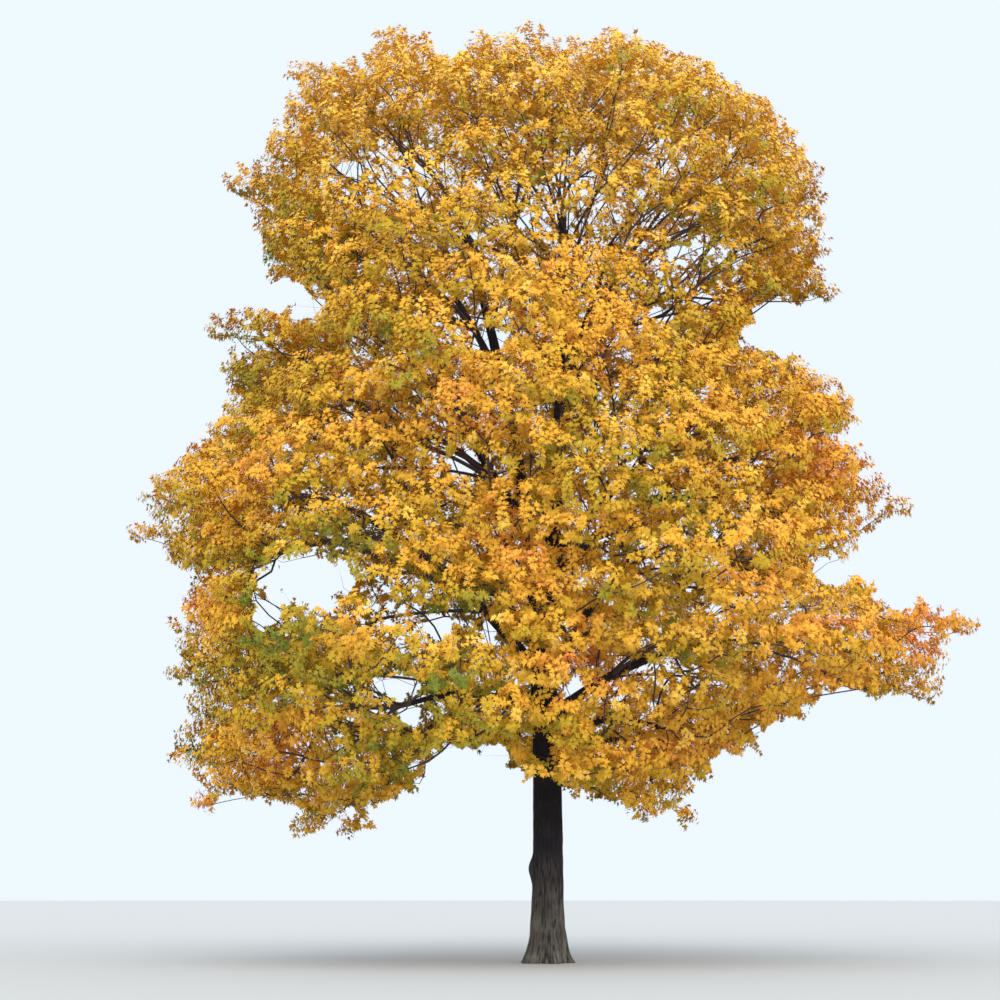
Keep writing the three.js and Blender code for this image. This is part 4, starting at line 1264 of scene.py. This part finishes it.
def limb_skin(limb, sides, rings, depth, spacing, root_swell=0.0):
    """The mesh of a limb with the relief of its bark. The trunk's rings are level."""
    level = limb.name == "trunk"
    depth, spacing = depth * sizes().furrow_depth, spacing * sizes().furrow_width
    bm = unit_rod(sides, rings)
    run = norm(np.diff(limb.line, axis=0), axis=1).sum()
    across = np.cross(UP, limb.tip - limb.root)
    if norm(across) < UPRIGHT_SHARE * norm(limb.tip - limb.root):
        across = -FRONT
    across = unit(across)
    furrows, barks = [], []
    mean = sum(limb.radii) / 2
    for vertex in bm.verts:
        along = vertex.co.z
        pole = math.hypot(vertex.co.x, vertex.co.y) < 0.5
        tangent = UP if level else limb.tangent(along)
        deep = unit(np.cross(across, tangent))
        beside = np.cross(tangent, deep)
        spoke = beside * vertex.co.x + deep * vertex.co.y
        if level:
            turn = math.atan2(spoke[1], spoke[0])
            radius = trunk_radius(along * FORK_HEIGHT, turn)
        else:
            turn = math.atan2(vertex.co.y, vertex.co.x)
            radius = limb.radii[0] + (limb.radii[1] - limb.radii[0]) * along
            radius *= 1 + root_swell * math.exp(-along * run / (COLLAR_LENGTH * limb.radii[0]))
        place = (math.cos(turn) * mean, math.sin(turn) * mean, along * run)
        furrow = 0.0 if pole else furrow_at(place, spacing)
        shrink = depth * (radius / limb.radii[0]) ** 0.5
        swell = UNEVEN * noise.noise(Vector(place) * UNEVEN_NOISE) * radius / TRUNK_RADII[0]
        vertex.co = limb.point(along) + spoke * (radius + swell + shrink * (RIDGE_SHARE - furrow))
        furrows.append(furrow)
        barks.extend(place)
    mesh = finished_mesh(limb.name, bm)
    mesh.attributes.new("furrow", "FLOAT", "POINT").data.foreach_set("value", furrows)
    mesh.attributes.new("bark_place", "FLOAT_VECTOR", "POINT").data.foreach_set("vector", barks)
    mesh.shade_smooth()
    return mesh


def finished_mesh(name, bm):
    mesh = bpy.data.meshes.new(name)
    bm.to_mesh(mesh)
    bm.free()
    return mesh


def new_object(name, data):
    """An object at the origin, unturned, in the scene."""
    result = bpy.data.objects.new(name, data)
    bpy.context.scene.collection.objects.link(result)
    return result


def joined_mesh(name, meshes):
    bm = bmesh.new()
    for mesh in meshes:
        bm.from_mesh(mesh)
    return finished_mesh(name, bm)


def add_piece(name, mesh, *materials):
    piece = new_object(name, mesh)
    for material in materials:
        mesh.materials.append(material)
    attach(piece, "root")
    return piece


class MAPLE_OT_trunk(bpy.types.Operator):
    """Makes the trunk and its two leaders with the relief of their bark"""

    bl_idname = "maple.trunk"
    bl_label = "Trunk and Leaders"

    def execute(self, context):
        limbs, _ = grown_tree()
        skins = [limb_skin(limbs[0], **TRUNK_SKIN)]
        skins += [limb_skin(limb, **LEADER_SKIN) for limb in limbs[1:3]]
        piece = add_piece("trunk_bark", joined_mesh("trunk_bark", skins), bark_material("old_bark", 1.0))
        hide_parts(*(limb.name for limb in limbs[:3]))
        return {"FINISHED"}


class MAPLE_OT_boughs(bpy.types.Operator):
    """Makes the boughs, tier by tier, each with a collar where it leaves its parent"""

    bl_idname = "maple.boughs"
    bl_label = "Boughs"

    def execute(self, context):
        limbs, _ = grown_tree()
        material = bark_material("young_bark", BOUGH_BRIGHTNESS)
        for tier in TIERS:
            own = [limb for limb in limbs if limb.name.startswith(f"bough_{tier['name']}")]
            if own:
                name = f"boughs_{tier['name']}"
                skins = [limb_skin(limb, **BOUGH_SKIN) for limb in own]
                piece = add_piece(name, joined_mesh(name, skins), material)
                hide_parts(*(limb.name for limb in own))
        return {"FINISHED"}


def crown_parts():
    """The masses of each tier, left and right of the trunk, under the name of that part of the crown."""
    parts = {}
    for group in grown_tree()[1]:
        mass = group["mass"]
        side = "left" if mass.heart[0] < 0 else "right"
        parts.setdefault(f"{mass.tier}_{side}", []).append(group)
    return parts


class MAPLE_OT_twigs(bpy.types.Operator):
    """Makes the twigs of each part of the crown, from its boughs out to every spray"""

    bl_idname = "maple.twigs"
    bl_label = "Twigs"

    def execute(self, context):
        material = plain_material("twig_bark", colours().twig, "twig")
        for name, groups in crown_parts().items():
            piece = add_piece(f"twigs_{name}", twigs_mesh(f"twigs_{name}", groups), material)
            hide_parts(*(group["mass"].name for group in groups))
        return {"FINISHED"}


class MAPLE_OT_leaves(bpy.types.Operator):
    """Makes the leaves of each part of the crown, in sprays that each have one tint"""

    bl_idname = "maple.leaves"
    bl_label = "Leaves"

    def execute(self, context):
        rng = np.random.default_rng(SEED)
        materials = [plain_material(f"leaf_{tint}", getattr(colours(), tint), "leaf") for tint in TINTS]
        for name, groups in crown_parts().items():
            mesh = leaves_mesh(f"foliage_{name}", groups, rng)
            piece = add_piece(f"foliage_{name}", mesh, *materials)
            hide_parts(*(group["mass"].name for group in groups))
        return {"FINISHED"}


def add_sun(name, strength, spread, colour, tilt, turn):
    sun = bpy.data.lights.new(name, "SUN")
    sun.energy = strength
    sun.angle = math.radians(spread)
    sun.color = colour
    new_object(name, sun).rotation_euler = Euler((math.radians(tilt), 0, math.radians(turn)))


class MAPLE_OT_stage(bpy.types.Operator):
    """Makes the floor, the lights and the camera"""

    bl_idname = "maple.stage"
    bl_label = "Stage"

    def execute(self, context):
        scene = context.scene
        look = scene.maple_studio
        bm = bmesh.new()
        bmesh.ops.create_circle(bm, cap_ends=True, segments=FLOOR_SIDES, radius=FLOOR_RADIUS)
        floor = new_object("floor", finished_mesh("floor", bm))
        floor.data.materials.append(plain_material("studio_floor", look.floor, "floor"))

        scene.world = bpy.data.worlds.new("studio")
        scene.world.use_nodes = True
        background = scene.world.node_tree.nodes["Background"]
        background.inputs["Color"].default_value = (*look.sky, 1)
        background.inputs["Strength"].default_value = look.sky_strength
        add_sun("key", look.key_strength, **SUNS["key"])
        add_sun("fill", look.fill_strength, **SUNS["fill"])

        camera = bpy.data.cameras.new("camera")
        camera.lens = look.lens
        camera.sensor_width = SENSOR_WIDTH
        camera.clip_end = VIEW_END
        scene.camera = new_object("camera", camera)
        scene.camera.location = look.eye
        scene.camera.rotation_euler = Euler((math.pi / 2 + look.pitch, 0, 0))
        scene.view_settings.view_transform = "Standard"
        scene.view_settings.gamma = look.gamma
        return {"FINISHED"}


class MAPLE_PT_panel(bpy.types.Panel):
    """Lists the parts of the tree in the order in which they are made"""

    bl_idname = "MAPLE_PT_panel"
    bl_label = "Silver Maple"
    bl_space_type = "VIEW_3D"
    bl_region_type = "UI"
    bl_category = "Maple"

    def draw(self, context):
        for operator in OPERATORS:
            self.layout.operator(operator.bl_idname)
        for group in SETTINGS:
            box = self.layout.box()
            for name in SETTINGS[group].__annotations__:
                box.prop(getattr(context.scene, group), name)


OPERATORS = (MAPLE_OT_stage, MAPLE_OT_trunk, MAPLE_OT_boughs, MAPLE_OT_twigs, MAPLE_OT_leaves)
SETTINGS = {"maple_sizes": MapleSizes, "maple_colours": MapleColours, "maple_studio": MapleStudio}
CLASSES = (*SETTINGS.values(), *OPERATORS, MAPLE_PT_panel)


def register():
    for each in CLASSES:
        bpy.utils.register_class(each)
    for name, group in SETTINGS.items():
        setattr(bpy.types.Scene, name, PointerProperty(type=group))


def unregister():
    for name in SETTINGS:
        delattr(bpy.types.Scene, name)
    for each in reversed(CLASSES):
        bpy.utils.unregister_class(each)


def main():
    register()
    bpy.ops.maple.stage()
    bpy.ops.maple.trunk()
    bpy.ops.maple.boughs()
    bpy.ops.maple.twigs()
    bpy.ops.maple.leaves()


if __name__ == "__main__":
    main()
